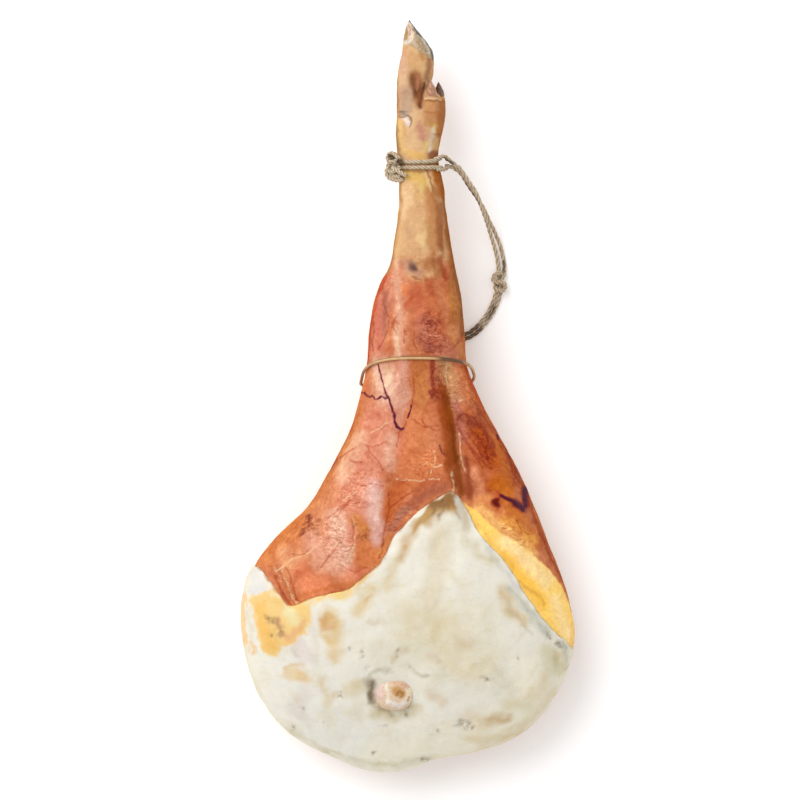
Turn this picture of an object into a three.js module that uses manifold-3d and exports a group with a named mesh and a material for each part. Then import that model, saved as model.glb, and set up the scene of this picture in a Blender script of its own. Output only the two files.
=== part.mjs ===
// A whole dry-cured ham on the bone, with its trotter, lying on its rind with the cut face up.
// Millimetres. +X to the right and +Y towards the hoof, seen from above; +Z up. The origin is on
// the surface that the ham lies on, under the middle of the ham.
import * as THREE from "three";
import { mergeVertices } from "three/addons/utils/BufferGeometryUtils.js";
import Module from "manifold-3d";

const wasm = await Module();
wasm.setup();

// Driving dimensions
const HAM_LENGTH = 750.7; // hoof tip to butt end
const HOOF_TIP_Y = 375;
const BUTT_Y = HOOF_TIP_Y - HAM_LENGTH;
const LARD_THICK = 5; // depth of the bed that the smeared lard lies in
const LARD_PROUD = 1.6; // how far the lard stands above the meat beside it
const GAP = 0.3; // left between pieces that touch
const COAT_LOW_Z = 46; // lowest edge of the lard, round the rim
const ROPE_DIAMETER = 4.2;
const TURN_SPACING = 5.6; // between the two turns round the ankle
const TURN_Y = 230.2; // middle of the two turns
const TURN_RISE = 4; // how far up the leg the upper turn climbs at the right
const BAND_DIAMETER = 3.2;
const LEG_FACETS = 44; // round the leg, most of them on its upper side
const BIG = 500; // larger than anything that it cuts

// Stations along the leg: [y, left x, right x, underside z, crown z, fullness of the section]
const LEG = [
  [266, -7.5, 24, 46.5, 72.5, 2.05],
  [245, -11.2, 29, 41.5, 77.5, 2.05],
  [230, -9.6, 30.3, 41, 78, 2.05],
  [210, -9.3, 35.2, 39.5, 80, 2.1],
  [185, -10.2, 37.5, 38, 82.5, 2.15],
  [155, -14, 42.2, 35.5, 86, 2.2],
  [131, -18.8, 46.4, 33, 89.5, 2.25],
  [112, -28.2, 49.8, 30, 94, 2.3],
  [90, -35.3, 54, 27, 99, 2.35],
  [60, -39.8, 56, 23.5, 104, 2.4],
  [30, -42.3, 58.5, 20, 109, 2.4],
  [-5, -49.2, 72, 15, 115, 2.4],
  [-40, -60.3, 90, 10.5, 121, 2.4],
  [-75, -79, 109.5, 6, 126.5, 2.4],
  [-110, -99.5, 125, 2, 131, 2.4],
  [-145, -135, 138.6, -1, 134.5, 2.4],
  [-175, -156.2, 150.6, -1.8, 136, 2.4],
  [-205, -165, 160.1, -0.5, 135, 2.45],
  [-240, -165.2, 166, 3, 131, 2.45],
  [-275, -158, 158, 9, 123.5, 2.45],
  [-305, -145.5, 142, 17, 113, 2.4],
  [-330, -126, 121.5, 27, 101, 2.35],
  [-345, -106.5, 98, 34.5, 91.5, 2.3],
  [-355, -87.5, 67.5, 41, 84, 2.2],
  [-362, -70, 28, 46, 78, 2.1],
  [-370, -52.5, 10, 52, 71.5, 2],
  [-374.5, -38, -5.5, 56.5, 66, 2],
  [BUTT_Y, -20.5, -20.5, 61.5, 61.5, 2],
];

// Stations of the trotter, in the same order. Each limb narrows to a point, or ends inside another.
const PASTERN = [
  [236, -5, 26, 46, 73, 2],
  [250, -12, 31, 41, 78, 2.1],
  [265, -12.7, 34.6, 39.5, 79.5, 2.2],
  [277, -11.8, 36.8, 38.5, 80.5, 2.3],
  [290, -11.7, 36.5, 38.5, 80.5, 2.3],
  [300, -11.5, 31, 39.5, 79.5, 2.2],
  [309, -9, 20, 43.5, 75.5, 2],
];
const NEAR_TOE = [
  [283, -10.5, 12.5, 58.5, 79.5, 2.2],
  [298, -11.5, 12.5, 58.3, 81, 2.2],
  [307, -11.5, 17.5, 58.3, 81.5, 2.2],
  [315, -11.5, 21.7, 58.3, 81.5, 2.2],
  [329, -9.5, 25, 58.3, 81.5, 2.2],
  [341, -6.7, 24.5, 58.5, 80, 2.2],
  [351, -5.5, 19.5, 59, 78, 2.1],
  [361, -4, 11.5, 60, 74.5, 2],
  [369, -2, 5, 62, 71, 2],
  [HOOF_TIP_Y, 0.9, 0.9, 66, 66, 2],
];
const NEAR_DEWCLAW = [
  [261, 16, 33, 61.5, 77.3, 2.1],
  [280, 14, 34.5, 60, 79.5, 2.2],
  [293, 14.5, 31.5, 60.5, 79.5, 2.2],
  [301, 15.5, 28.5, 61.5, 78, 2.1],
  [309, 17.5, 25.5, 63.5, 75, 2],
  [317.2, 20.8, 20.8, 69.5, 69.5, 2],
];
const FAR_DEWCLAW = [
  [261, 18.5, 33.6, 41.3, 57.2, 2.1],
  [280, 20, 37, 40, 58, 2.2],
  [293, 23, 37, 40.5, 57.5, 2.2],
  [301, 25, 35.5, 42, 56, 2.1],
  [307, 27, 33.5, 44.5, 54, 2],
  [313.4, 30.1, 30.1, 49.5, 49.5, 2],
];
const FAR_TOE_SHIFT = [0.2, -5, -23.6]; // the far toe is the near one, set back and below it
const HOOF_LINE = { x: -5.5, y: 353, tilt: -33.7 }; // where a toe's skin ends; tilt in degrees
const DEWCLAW_LINE = { x: 0, y: 298, tilt: 0 };

// Relief of the upper side: strokes along [x, y] points, raised or sunk by height over a width
const RELIEF = [
  // Fold between the two large muscles
  { height: -10, width: 8, path: [[38.5, 22], [43.5, -15], [48.5, -45], [56, -105], [62, -132]] },
  // Muscle right of the fold, and the edge of the one left of it
  { height: 6, width: 19, path: [[70, -10], [84, -45], [99, -85], [113, -125]] },
  { height: 3, width: 9, path: [[27, -5], [31, -45], [36, -85]] },
  // Swell of the thigh, and the shallow valley beside it
  { height: 6, width: 30, path: [[-23, -5], [-43, -55], [-63, -105], [-83, -150]] },
  { height: -2.5, width: 8, path: [[0, -5], [-8, -55], [-15, -105], [-20, -150]] },
  // Shin bone, and the valleys on its two sides
  { height: 3, width: 9, path: [[2, 112], [-4, 65], [-8, 15]] },
  { height: -2, width: 7, path: [[-23, 95], [-26, 45]] },
  { height: -2.5, width: 7, path: [[31, 140], [37, 95], [42, 50]] },
  // Crease where the skin meets the lard at the left
  { height: -6, width: 5, path: [[-140, -165], [-128, -185], [-117, -207]] },
  // Swells of the cut face, and the dip round the bone's end
  { height: 4, width: 34, path: [[-80, -235], [-70, -270]] },
  { height: 4, width: 42, path: [[60, -190], [90, -250]] },
  { height: -5, width: 25, path: [[-17, -297], [-15, -298]] },
];

// Outline of the lard from above: [x, y] points. It runs on past the rim of the ham.
const LARD_OUTLINE = [
  [-182, -172], [-151, -171], [-144, -177], [-135, -188], [-124, -204], [-116, -209.5],
  [-97, -201], [-63, -193], [-50, -184], [-28, -165], [-16, -143], [-8, -132], [12, -113],
  [28, -102], [43.5, -95], [58.5, -112], [72.5, -139], [95.5, -164], [117.5, -198],
  [140.5, -229], [157.5, -245], [184, -269], [184, -405], [-182, -405],
];

// The round end of the thigh bone
const BONE_CENTRE = [-16, -298];
const BONE_RADII = [18.8, 15.3, 13];
const BONE_SUNK = 4.5; // its middle, below the face of the lard

// The rope's loop: two runs that hang from the ankle to the knot, then a doubled tail. The inner
// run leaves the ankle above the outer one and crosses over it.
const OUTER_RUN = [
  [36.6, 229.8, 58.3], [43, 228.2, 55.5], [48.7, 225, 52], [53.5, 220.2, 48.5], [60.7, 209, 41.5],
  [68.8, 197.5, 34], [75.8, 186, 26.3], [81.5, 173.5, 17.8], [85.5, 166, 13.2], [88.5, 159, 9],
  [91.8, 151, 5.4], [94.3, 142, 3.3], [96.1, 132, 2.7], [96.3, 125, 3.4], [94.5, 119, 5.4],
];
const INNER_RUN = [
  [36.7, 236.8, 61.8], [42, 233.9, 61], [46.5, 230.6, 59.5], [51.2, 226.9, 57], [59.3, 215.2, 50.3],
  [67.9, 202, 42.3], [72.9, 189, 34.5], [78.4, 174, 24.8], [80.9, 166, 19], [83.8, 157, 13.4],
  [86.5, 148, 8.6], [88.8, 139, 5], [90.1, 130, 3.1], [90.6, 120, 4.6],
];
const TAIL = [
  [91.4, 107, 4.5], [90.5, 103, 3.4], [86.8, 92, 2.4], [80.9, 80.2, 2.3], [71.3, 68.2, 2.3],
  [63.7, 61.8, 2.3], [55.8, 58.1, 2.3], [47.3, 55.9, 2.3],
];
const TAIL_SPACING = 4.6; // between its two runs
const TAIL_TURN = [[38, 3.4], [28, 6.2], [18, 8.4], [9.5, 7.8], [4.5, 4.4]]; // [x, half width]
const TAIL_TIP = [2.8, 55, 2.3];
const KNOT = { centre: [91.5, 114, 7], radii: [7.2, 8.8, 6.8] };

// The lashing's own knot, against the left side of the ankle, with its short cut end
const HITCH_LUMPS = [
  { centre: [-16, 240, 66], radii: [6.4, 5.2, 6] },
  { centre: [-16.8, 225.5, 64], radii: [6.6, 10.4, 8] },
];
const HITCH_END = [[-13, 218.5, 68], [-9, 217, 74], [-4.8, 218.8, 79.6]];

// The cord round the shank, by angle round it: how high up the leg it runs at the top, the sides
// and the underside, and how far off the skin it stands at the right
const BAND = { top: 37, side: 16.5, slant: 4.5, under: 4, off: 0.7, offRight: 2 };

const add3 = (a, b) => a.map((value, i) => value + b[i]);

function unit(x, y) {
  const length = Math.hypot(x, y) || 1;
  return [x / length, y / length];
}

// The value of a column at t stations along, on a smooth line through all of them (Catmull-Rom)
function smooth(rows, column, t) {
  const i = Math.min(Math.floor(t), rows.length - 2);
  const f = t - i;
  const at = (k) => rows[Math.max(0, Math.min(rows.length - 1, k))][column];
  const [a, b, c, d] = [at(i - 1), at(i), at(i + 1), at(i + 2)];
  return b + 0.5 * f * (c - a + f * (2 * a - 5 * b + 4 * c - d + f * (3 * (b - c) + d - a)));
}

function distanceToPath(x, y, path) {
  let best = Infinity;
  for (let i = 0; i + 1 < path.length; i++) {
    const [ax, ay] = path[i];
    const [dx, dy] = [path[i + 1][0] - ax, path[i + 1][1] - ay];
    const along = ((x - ax) * dx + (y - ay) * dy) / (dx * dx + dy * dy);
    const h = Math.min(1, Math.max(0, along));
    best = Math.min(best, Math.hypot(x - ax - dx * h, y - ay - dy * h));
  }
  return best;
}

function reliefAt(x, y) {
  return RELIEF.reduce((sum, { height, width, path }) => {
    const d = distanceToPath(x, y, path) / width;
    return sum + height * Math.exp(-d * d);
  }, 0);
}

// A point on a limb, t stations along and at angle a round its section: a superellipse whose upper
// and lower halves have their own heights. inset shrinks it, and lift raises its upper half.
function limbPoint(stations, t, a, { inset = 0, lift = 0, relief = false } = {}) {
  const [y, left, right, low, high, fullness] = [0, 1, 2, 3, 4, 5].map((column) =>
    smooth(stations, column, t),
  );
  const power = 2 / fullness;
  const middle = low + 0.46 * (high - low);
  const [c, s] = [Math.cos(a), Math.sin(a)];
  const half = Math.max(0.01, (right - left) / 2 - inset);
  const rise = Math.max(0.01, (s > 0 ? high - middle : middle - low) - inset);
  const x = (left + right) / 2 + half * Math.sign(c) * Math.abs(c) ** power;
  const z = middle + rise * Math.sign(s) * Math.abs(s) ** power;
  const share = Math.min(1, Math.max(0, s) / 0.6);
  const upper = share * share * (3 - 2 * share);
  return [x, y, z + upper * (lift + (relief ? reliefAt(x, y) : 0))];
}

function solidOf(geometry) {
  geometry.deleteAttribute("normal");
  geometry.deleteAttribute("uv");
  const merged = mergeVertices(geometry, 1e-4);
  return new wasm.Manifold(
    new wasm.Mesh({
      numProp: 3,
      vertProperties: merged.attributes.position.array,
      triVerts: new Uint32Array(merged.index.array),
    }),
  );
}

// A closed solid through rings of points, with a fan to the middle of the first and the last ring
function skin(rings) {
  const sides = rings[0].length;
  const points = rings.flat();
  const faces = [];
  for (let i = 0; i + 1 < rings.length; i++)
    for (let j = 0; j < sides; j++) {
      const a = i * sides + j;
      const b = i * sides + ((j + 1) % sides);
      faces.push([a, b, a + sides], [b, b + sides, a + sides]);
    }
  const middle = (ring) => ring.reduce(add3).map((value) => value / sides);
  const first = points.push(middle(rings[0])) - 1;
  const last = points.push(middle(rings.at(-1))) - 1;
  const end = (rings.length - 1) * sides;
  for (let j = 0; j < sides; j++) {
    const next = (j + 1) % sides;
    faces.push([first, next, j], [last, end + j, end + next]);
  }
  // The rings run either way along Y, so the faces are turned to look outwards
  const outward = rings[0][0][1] < rings.at(-1)[0][1] ? [0, 2, 1] : [0, 1, 2];
  const geometry = new THREE.BufferGeometry();
  geometry.setAttribute("position", new THREE.Float32BufferAttribute(points.flat(), 3));
  geometry.setIndex(faces.flatMap((face) => outward.map((k) => face[k])));
  return solidOf(geometry);
}

function limb(stations, { rings, top, under, ...shape }) {
  const end = stations.length - 1.001;
  const angles = [
    ...Array.from({ length: top }, (_, j) => (Math.PI * j) / top),
    ...Array.from({ length: under }, (_, j) => Math.PI * (1 + j / under)),
  ];
  return skin(
    Array.from({ length: rings + 1 }, (_, i) =>
      angles.map((a) => limbPoint(stations, (end * i) / rings, a, shape)),
    ),
  );
}

// The leg without its trotter. detail is the share of its facets: the lard's bed needs fewer.
function leg({ detail = 1, ...shape } = {}) {
  const top = Math.round(LEG_FACETS * detail * 0.6);
  const under = Math.round(LEG_FACETS * detail * 0.28);
  return limb(LEG, { rings: Math.round(40 * detail), top, under, relief: true, ...shape });
}

function box(width, depth, height, x, y, z, turn = 0) {
  const geometry = new THREE.BoxGeometry(width, depth, height);
  geometry.translate(0, depth / 2, 0);
  geometry.rotateZ(THREE.MathUtils.degToRad(turn));
  geometry.translate(x, y, z);
  return solidOf(geometry);
}

function ball({ centre, radii }, grow = 0, across = 14, down = 9) {
  const geometry = new THREE.SphereGeometry(1, across, down);
  geometry.rotateX(Math.PI / 2);
  geometry.scale(...radii.map((radius) => radius + grow));
  geometry.translate(...centre);
  return solidOf(geometry);
}

// An upright prism on an outline, moved outwards by a distance (inwards if it is negative)
function prism(outline, distance, floor) {
  const corners = outline.map(([x, y], i) => {
    const before = outline.at(i - 1);
    const after = outline[(i + 1) % outline.length];
    const [ax, ay] = unit(x - before[0], y - before[1]);
    const [bx, by] = unit(after[0] - x, after[1] - y);
    const [nx, ny] = unit(ay + by, -ax - bx);
    const reach = -distance / Math.max(0.4, nx * ay - ny * ax);
    return new THREE.Vector2(x + nx * reach, y + ny * reach);
  });
  const shape = new THREE.Shape(corners);
  const geometry = new THREE.ExtrudeGeometry(shape, { depth: BIG, bevelEnabled: false });
  geometry.translate(0, 0, floor);
  return solidOf(geometry);
}

function curveThrough(points, closed = false) {
  return new THREE.CatmullRomCurve3(points.map((point) => new THREE.Vector3(...point)), closed);
}

// A round rod along a smooth curve, with flat ends
function rod(points, radius, steps, sides = 8) {
  const section = new THREE.Shape(
    Array.from({ length: sides }, (_, i) => {
      const a = (2 * Math.PI * i) / sides;
      return new THREE.Vector2(radius * Math.cos(a), radius * Math.sin(a));
    }),
  );
  const extrudePath = curveThrough(points);
  return solidOf(new THREE.ExtrudeGeometry(section, { steps, extrudePath, bevelEnabled: false }));
}

function hoop(points, radius, steps, sides = 8) {
  return solidOf(new THREE.TubeGeometry(curveThrough(points, true), steps, radius, sides, true));
}

function stationAt(y) {
  let [low, high] = [0, LEG.length - 1];
  while (high - low > 1e-6) {
    const middle = (low + high) / 2;
    if (smooth(LEG, 0, middle) > y) low = middle;
    else high = middle;
  }
  return low;
}

// Points round the leg, with their place along it and their distance from the skin by angle
function roundLeg(count, yAt, offAt) {
  return Array.from({ length: count }, (_, i) => {
    const a = (2 * Math.PI * i) / count;
    return limbPoint(LEG, stationAt(yAt(a)), a, { inset: -offAt(a), relief: true });
  });
}

// The face of the lard above a place on the table
function lardHeight(x, y) {
  const t = stationAt(y);
  let [low, high] = [0, Math.PI];
  while (high - low > 1e-6) {
    const middle = (low + high) / 2;
    if (limbPoint(LEG, t, middle)[0] > x) low = middle;
    else high = middle;
  }
  return limbPoint(LEG, t, low, { lift: LARD_PROUD, relief: true })[2];
}

// Hooves are the tips of the toes and dewclaws, cut off along the line where the skin ends
function trotter() {
  const toe = (shape) => limb(NEAR_TOE, { rings: 13, top: 7, under: 7, ...shape });
  const dewclaw = (stations) => (shape) => limb(stations, { rings: 7, top: 6, under: 6, ...shape });
  const tips = [
    { name: "hoof_near", make: toe, line: HOOF_LINE, shift: [0, 0, 0] },
    { name: "hoof_far", make: toe, line: HOOF_LINE, shift: FAR_TOE_SHIFT },
    { name: "dewclaw_near", make: dewclaw(NEAR_DEWCLAW), line: DEWCLAW_LINE, shift: [0, 0, 0] },
    { name: "dewclaw_far", make: dewclaw(FAR_DEWCLAW), line: DEWCLAW_LINE, shift: [0, 0, 0] },
  ];
  const beyond = ({ x, y, tilt }, gap) => box(BIG, BIG, BIG, x, y - gap, 0, tilt);
  let flesh = limb(PASTERN, { rings: 10, top: 12, under: 12 });
  for (const { make, shift } of tips) flesh = flesh.add(make({}).translate(shift));
  for (const { make, line, shift } of tips)
    flesh = flesh.subtract(make({ inset: -GAP }).intersect(beyond(line, GAP)).translate(shift));
  const hooves = tips.map(({ name, make, line, shift }) => ({
    name,
    solid: make({}).intersect(beyond(line, 0)).translate(shift),
  }));
  return { flesh, hooves };
}

function lardAndBed() {
  const floor = leg({ inset: LARD_THICK, detail: 0.6 });
  const lardFloor = leg({ inset: LARD_THICK - GAP, detail: 0.6 });
  const bed = prism(LARD_OUTLINE, GAP / 2, COAT_LOW_Z).subtract(floor);
  const lard = leg({ lift: LARD_PROUD })
    .intersect(prism(LARD_OUTLINE, -GAP / 2, COAT_LOW_Z + GAP))
    .subtract(lardFloor);
  return { bed, lard };
}

function boneEnd(grow) {
  const [x, y] = BONE_CENTRE;
  const centre = [x, y, lardHeight(x, y) - BONE_SUNK];
  return ball({ centre, radii: BONE_RADII }, grow, 18, 11);
}

function ankleRope() {
  const radius = ROPE_DIAMETER / 2;
  const turn = (side, grow) => {
    const rise = side > 0 ? TURN_RISE : 0;
    const y = (a) => TURN_Y + (side * TURN_SPACING) / 2 + rise * Math.max(0, Math.cos(a)) ** 3;
    return hoop(roundLeg(16, y, () => radius + 0.5), radius + grow, 24);
  };
  const lumps = HITCH_LUMPS.map((lump) => ball(lump, 0, 10, 7));
  const hitch = lumps[0]
    .add(lumps[1])
    .add(rod(HITCH_END, radius, 6))
    .subtract(turn(1, GAP))
    .subtract(turn(-1, GAP))
    .subtract(leg({ inset: -GAP }));
  const [largest] = hitch.decompose().sort((a, b) => b.volume() - a.volume());
  return { upper: turn(1, 0), lower: turn(-1, 0), hitch: largest };
}

function hangingLoop() {
  const radius = ROPE_DIAMETER / 2;
  const room = ball(KNOT, GAP);
  const besideTail = (side) =>
    TAIL.map(([x, y, z], i) => {
      const before = TAIL[Math.max(0, i - 1)];
      const after = TAIL[Math.min(TAIL.length - 1, i + 1)];
      const [dx, dy] = unit(after[0] - before[0], after[1] - before[1]);
      return [x + (dy * side * TAIL_SPACING) / 2, y - (dx * side * TAIL_SPACING) / 2, z];
    });
  const [, turnY, turnZ] = TAIL_TIP;
  const turn = (side) => TAIL_TURN.map(([x, half]) => [x, turnY + side * half, turnZ]);
  const tail = [
    ...besideTail(-1),
    ...turn(-1),
    TAIL_TIP,
    ...turn(1).reverse(),
    ...besideTail(1).reverse(),
  ];
  return {
    knot: ball(KNOT),
    outer: rod(OUTER_RUN, radius, 28).subtract(room),
    inner: rod(INNER_RUN, radius, 28).subtract(room),
    bight: rod(tail, radius, 34).subtract(room),
  };
}

function shankBand() {
  const { top, side, slant, under, off, offRight } = BAND;
  const along = (a) => {
    const [level, rise] = [side + slant * Math.cos(a), Math.sin(a)];
    return rise > 0 ? level + (top - level) * rise ** 0.5 : level + (level - under) * rise;
  };
  const away = (a) => BAND_DIAMETER / 2 + off + offRight * Math.max(0, Math.cos(a)) ** 2;
  return hoop(roundLeg(28, along, away), BAND_DIAMETER / 2, 48, 6);
}

const MATERIALS = {
  meat: new THREE.MeshStandardMaterial({ color: 0xc9824f, roughness: 0.42 }),
  lard: new THREE.MeshStandardMaterial({ color: 0xe6e0cc, roughness: 0.55 }),
  bone: new THREE.MeshStandardMaterial({ color: 0xdcb795, roughness: 0.5 }),
  hoof: new THREE.MeshStandardMaterial({ color: 0xc7a27c, roughness: 0.5 }),
  rope: new THREE.MeshStandardMaterial({ color: 0xa3937a, roughness: 0.9 }),
  cord: new THREE.MeshStandardMaterial({ color: 0xc99a63, roughness: 0.5 }),
};

const ham = new THREE.Group();

function add(name, solid, material) {
  const { vertProperties, triVerts } = solid.getMesh();
  const geometry = new THREE.BufferGeometry();
  geometry.setAttribute("position", new THREE.BufferAttribute(vertProperties, 3));
  geometry.setIndex(new THREE.BufferAttribute(triVerts, 1));
  geometry.computeVertexNormals();
  const mesh = new THREE.Mesh(geometry, material);
  mesh.name = name;
  ham.add(mesh);
}

const { flesh, hooves } = trotter();
const { bed, lard } = lardAndBed();
const socket = boneEnd(GAP);
const table = box(2 * BIG, 2 * BIG, BIG, 0, -BIG, -BIG / 2);

add("ham", leg().subtract(bed).add(flesh).subtract(socket).subtract(table), MATERIALS.meat);
add("lard_coat", lard.subtract(socket), MATERIALS.lard);
add("bone_end", boneEnd(0), MATERIALS.bone);
for (const { name, solid } of hooves) add(name, solid, MATERIALS.hoof);

const ankle = ankleRope();
add("rope_turn_upper", ankle.upper, MATERIALS.rope);
add("rope_turn_lower", ankle.lower, MATERIALS.rope);
add("rope_hitch", ankle.hitch, MATERIALS.rope);

const loop = hangingLoop();
add("rope_run_outer", loop.outer, MATERIALS.rope);
add("rope_run_inner", loop.inner, MATERIALS.rope);
add("rope_knot", loop.knot, MATERIALS.rope);
add("rope_bight", loop.bight, MATERIALS.rope);
add("shank_band", shankBand(), MATERIALS.cord);

export default ham;
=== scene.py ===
# %% [markdown]
# # A whole dry-cured ham
# The ham lies on its rind with the cut face up. Its trotter points up the picture, a rope is lashed
# round the ankle and hangs off it as a knotted loop, and a thin tan cord runs round the shank.
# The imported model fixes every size. This script dresses it: each solid whose surface is too plain
# is replaced by a finer one that is worked out from the same stations and routes.

import bpy
import numpy as np
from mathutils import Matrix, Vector


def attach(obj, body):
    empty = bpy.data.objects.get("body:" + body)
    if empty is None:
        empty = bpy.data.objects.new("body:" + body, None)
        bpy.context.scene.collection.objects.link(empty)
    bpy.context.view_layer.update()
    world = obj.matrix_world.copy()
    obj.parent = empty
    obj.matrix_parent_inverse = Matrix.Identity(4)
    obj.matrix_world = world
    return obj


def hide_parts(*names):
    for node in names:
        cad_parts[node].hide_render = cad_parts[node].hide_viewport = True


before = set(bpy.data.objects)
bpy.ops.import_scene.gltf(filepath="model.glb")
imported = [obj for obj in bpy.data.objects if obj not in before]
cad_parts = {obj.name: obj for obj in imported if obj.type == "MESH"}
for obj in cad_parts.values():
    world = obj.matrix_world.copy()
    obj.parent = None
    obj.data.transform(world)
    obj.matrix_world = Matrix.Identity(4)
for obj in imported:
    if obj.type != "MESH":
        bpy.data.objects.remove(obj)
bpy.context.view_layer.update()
MM = 0.001


# %% [markdown]
# ## Camera
# The photograph looks straight down, and shows no perspective. A very long lens from far away gives
# that look, and one pixel of the picture is then one millimetre at every height of the ham.

# %% Camera
PICTURE_WIDTH = 0.8
LENS_MM = 600
SENSOR_MM = 36
PICTURE_MIDDLE = (-0.0085, -0.005, 0.065)
SEES_TO = 60

camera_data = bpy.data.cameras.new("camera")
camera_data.lens = LENS_MM
camera_data.sensor_width = SENSOR_MM
camera_data.clip_end = SEES_TO
camera = bpy.data.objects.new("camera", camera_data)
camera.location = (
    PICTURE_MIDDLE[0],
    PICTURE_MIDDLE[1],
    PICTURE_MIDDLE[2] + PICTURE_WIDTH * LENS_MM / SENSOR_MM,
)
scene = bpy.context.scene
scene.collection.objects.link(camera)
scene.camera = camera
scene.view_settings.view_transform = "Standard"
print("camera stands", round(camera.location.z, 2), "m up")

# %% [markdown]
# ## Smooth lines
# Routes and sections are given by a few points. A Catmull-Rom cubic runs through all of them, so the
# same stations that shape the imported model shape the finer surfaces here.

# %% Smooth lines
FINE_STEPS = 60


def smooth(rows, t):
    """Values at t rows along: b + f/2 (c - a + f (2a - 5b + 4c - d + f (3 (b - c) + d - a))),
    where a, b, c and d are the rows round the place, and f is the share of the way from b to c."""
    rows = np.asarray(rows, float)
    t = np.asarray(t, float)
    i = np.clip(np.floor(t).astype(int), 0, len(rows) - 2)
    f = (t - i)[..., None]
    a, b, c, d = (rows[np.clip(i + k, 0, len(rows) - 1)] for k in (-1, 0, 1, 2))
    return b + 0.5 * f * (c - a + f * (2 * a - 5 * b + 4 * c - d + f * (3 * (b - c) + d - a)))


def along_line(line):
    """How far along a line each of its points lies."""
    return np.concatenate([[0], np.cumsum(np.linalg.norm(np.diff(line, axis=0), axis=1))])


def evenly(points, spacing, closed=False):
    """Points a fixed distance apart on the smooth line through the given ones."""
    points = np.asarray(points, float)
    if closed:
        points = np.concatenate([points[-1:], points, points[:2]])
        t = np.linspace(1, len(points) - 2, FINE_STEPS * len(points))
    else:
        t = np.linspace(0, len(points) - 1, FINE_STEPS * len(points))
    line = smooth(points, t)
    along = along_line(line)
    at = np.linspace(0, along[-1], int(round(along[-1] / spacing)) + 1)
    return np.stack([np.interp(at, along, line[:, k]) for k in range(line.shape[1])], 1)


def length_of(line):
    return np.linalg.norm(np.diff(line, axis=0), axis=1).sum()


def whole_turn(count):
    """Angles evenly round a full turn."""
    return np.linspace(0, 2 * np.pi, count, endpoint=False)


def step(x):
    """Smooth step: 3x² - 2x³ between 0 and 1."""
    x = np.clip(x, 0, 1)
    return x * x * (3 - 2 * x)


# %% [markdown]
# ## Distances and random lumps
# Colours, stains and relief are laid along lines and broken up by smooth random values.

# %% Distances and random lumps
# Random numbers in a table, its steps for one cell along x, y and z, and the shift between layers
TABLE_SIZE = 4096
TABLE_STEPS = np.array([73, 179, 283])
LAYER_SHIFT = 31.7


def distance(places, path):
    """Distance in the plane from each place to the nearest of a path's segments."""
    path = np.asarray(path, float)
    best = np.full(places.shape[:-1], np.inf)
    for start, end in zip(path[:-1], path[1:]):
        run = end - start
        from_start = places[..., :2] - start
        share = np.clip((from_start @ run) / (run @ run), 0, 1)
        best = np.minimum(best, np.linalg.norm(from_start - share[..., None] * run, axis=-1))
    return best


def inside_distance(places, outline):
    """Distance to a closed outline, positive inside it. A place is inside if a ray from it crosses
    the outline an odd number of times."""
    outline = np.asarray(outline, float)
    after = np.roll(outline, -1, axis=0)
    odd = np.zeros(places.shape[:-1], bool)
    x, y = places[..., 0], places[..., 1]
    for (x0, y0), (x1, y1) in zip(outline, after):
        if y0 == y1:
            continue
        crosses = (y0 > y) != (y1 > y)
        odd ^= crosses & (x < x0 + (y - y0) * (x1 - x0) / (y1 - y0))
    far = distance(places, np.concatenate([outline, outline[:1]]))
    return np.where(odd, far, -far)


def lumps(places, size, seed, layers=2):
    """Smooth random values from -1 to 1: random numbers on a cubic lattice, blended between its
    points with the smooth step, plus finer layers of half the size and half the height."""
    total = np.zeros(places.shape[:-1])
    for layer in range(layers):
        at = places / (size / 2**layer) + LAYER_SHIFT * layer
        cell = np.floor(at).astype(np.int64)
        share = step(at - cell)
        table = np.random.default_rng(seed + layer).uniform(-1, 1, TABLE_SIZE)
        value = 0
        for corner in np.ndindex(2, 2, 2):
            key = (cell + corner) @ TABLE_STEPS
            weight = np.prod(np.where(corner, share, 1 - share), axis=-1)
            value = value + weight * table[key % TABLE_SIZE]
        total += value / 2**layer
    return total


def strokes(places, rows):
    """Sum of height e^-(d/width)² over the strokes, for the distance d to each one's path."""
    return sum(h * np.exp(-((distance(places, path) / w) ** 2)) for h, w, path in rows)


def area_strength(places, areas):
    """1 well within an area's half width, a half at that width, and 0 past its soft edge."""
    total = np.zeros(places.shape[:-1])
    for half, soft, path in areas:
        total = np.maximum(total, step(0.5 + (half - distance(places, path)) / soft))
    return total


# %% [markdown]
# ## Meshes from grids
# Every new surface is a grid of points. The helper joins neighbouring points into quads, and closes
# the grid's ends, so that each piece is a closed skin.

# %% Meshes from grids
dressed_pieces = []


def hold_values(mesh, values):
    """Keep a number or a colour at every point of a mesh, for its material to read."""
    for key, array in values.items():
        colour = array.ndim == 2
        if colour:
            array = np.concatenate([array, np.ones((len(array), 1))], 1)
        attribute = mesh.attributes.new(key, "FLOAT_COLOR" if colour else "FLOAT", "POINT")
        attribute.data.foreach_set("color" if colour else "value", array.astype(np.float32).ravel())


def make_piece(name, points, faces, material_slot, nodes, values):
    """Put points (mm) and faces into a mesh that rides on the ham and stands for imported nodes."""
    mesh = bpy.data.meshes.new(name)
    mesh.from_pydata(np.asarray(points) * MM, [], faces)
    return finish_piece(name, mesh, material_slot, nodes, values)


def finish_piece(name, mesh, material_slot, nodes, values):
    hold_values(mesh, values)
    mesh.polygons.foreach_set("use_smooth", [True] * len(mesh.polygons))
    mesh.update()
    piece = bpy.data.objects.new(name, mesh)
    scene.collection.objects.link(piece)
    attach(piece, "root")
    if nodes:
        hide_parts(*nodes)
    dressed_pieces.append((piece, material_slot))
    return piece


def quads(index):
    """Quads between the neighbouring points of a grid of point numbers."""
    a, b = index[:-1, :-1], index[:-1, 1:]
    c, d = index[1:, 1:], index[1:, :-1]
    return np.stack([a, b, c, d], -1).reshape(-1, 4).tolist()


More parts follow.
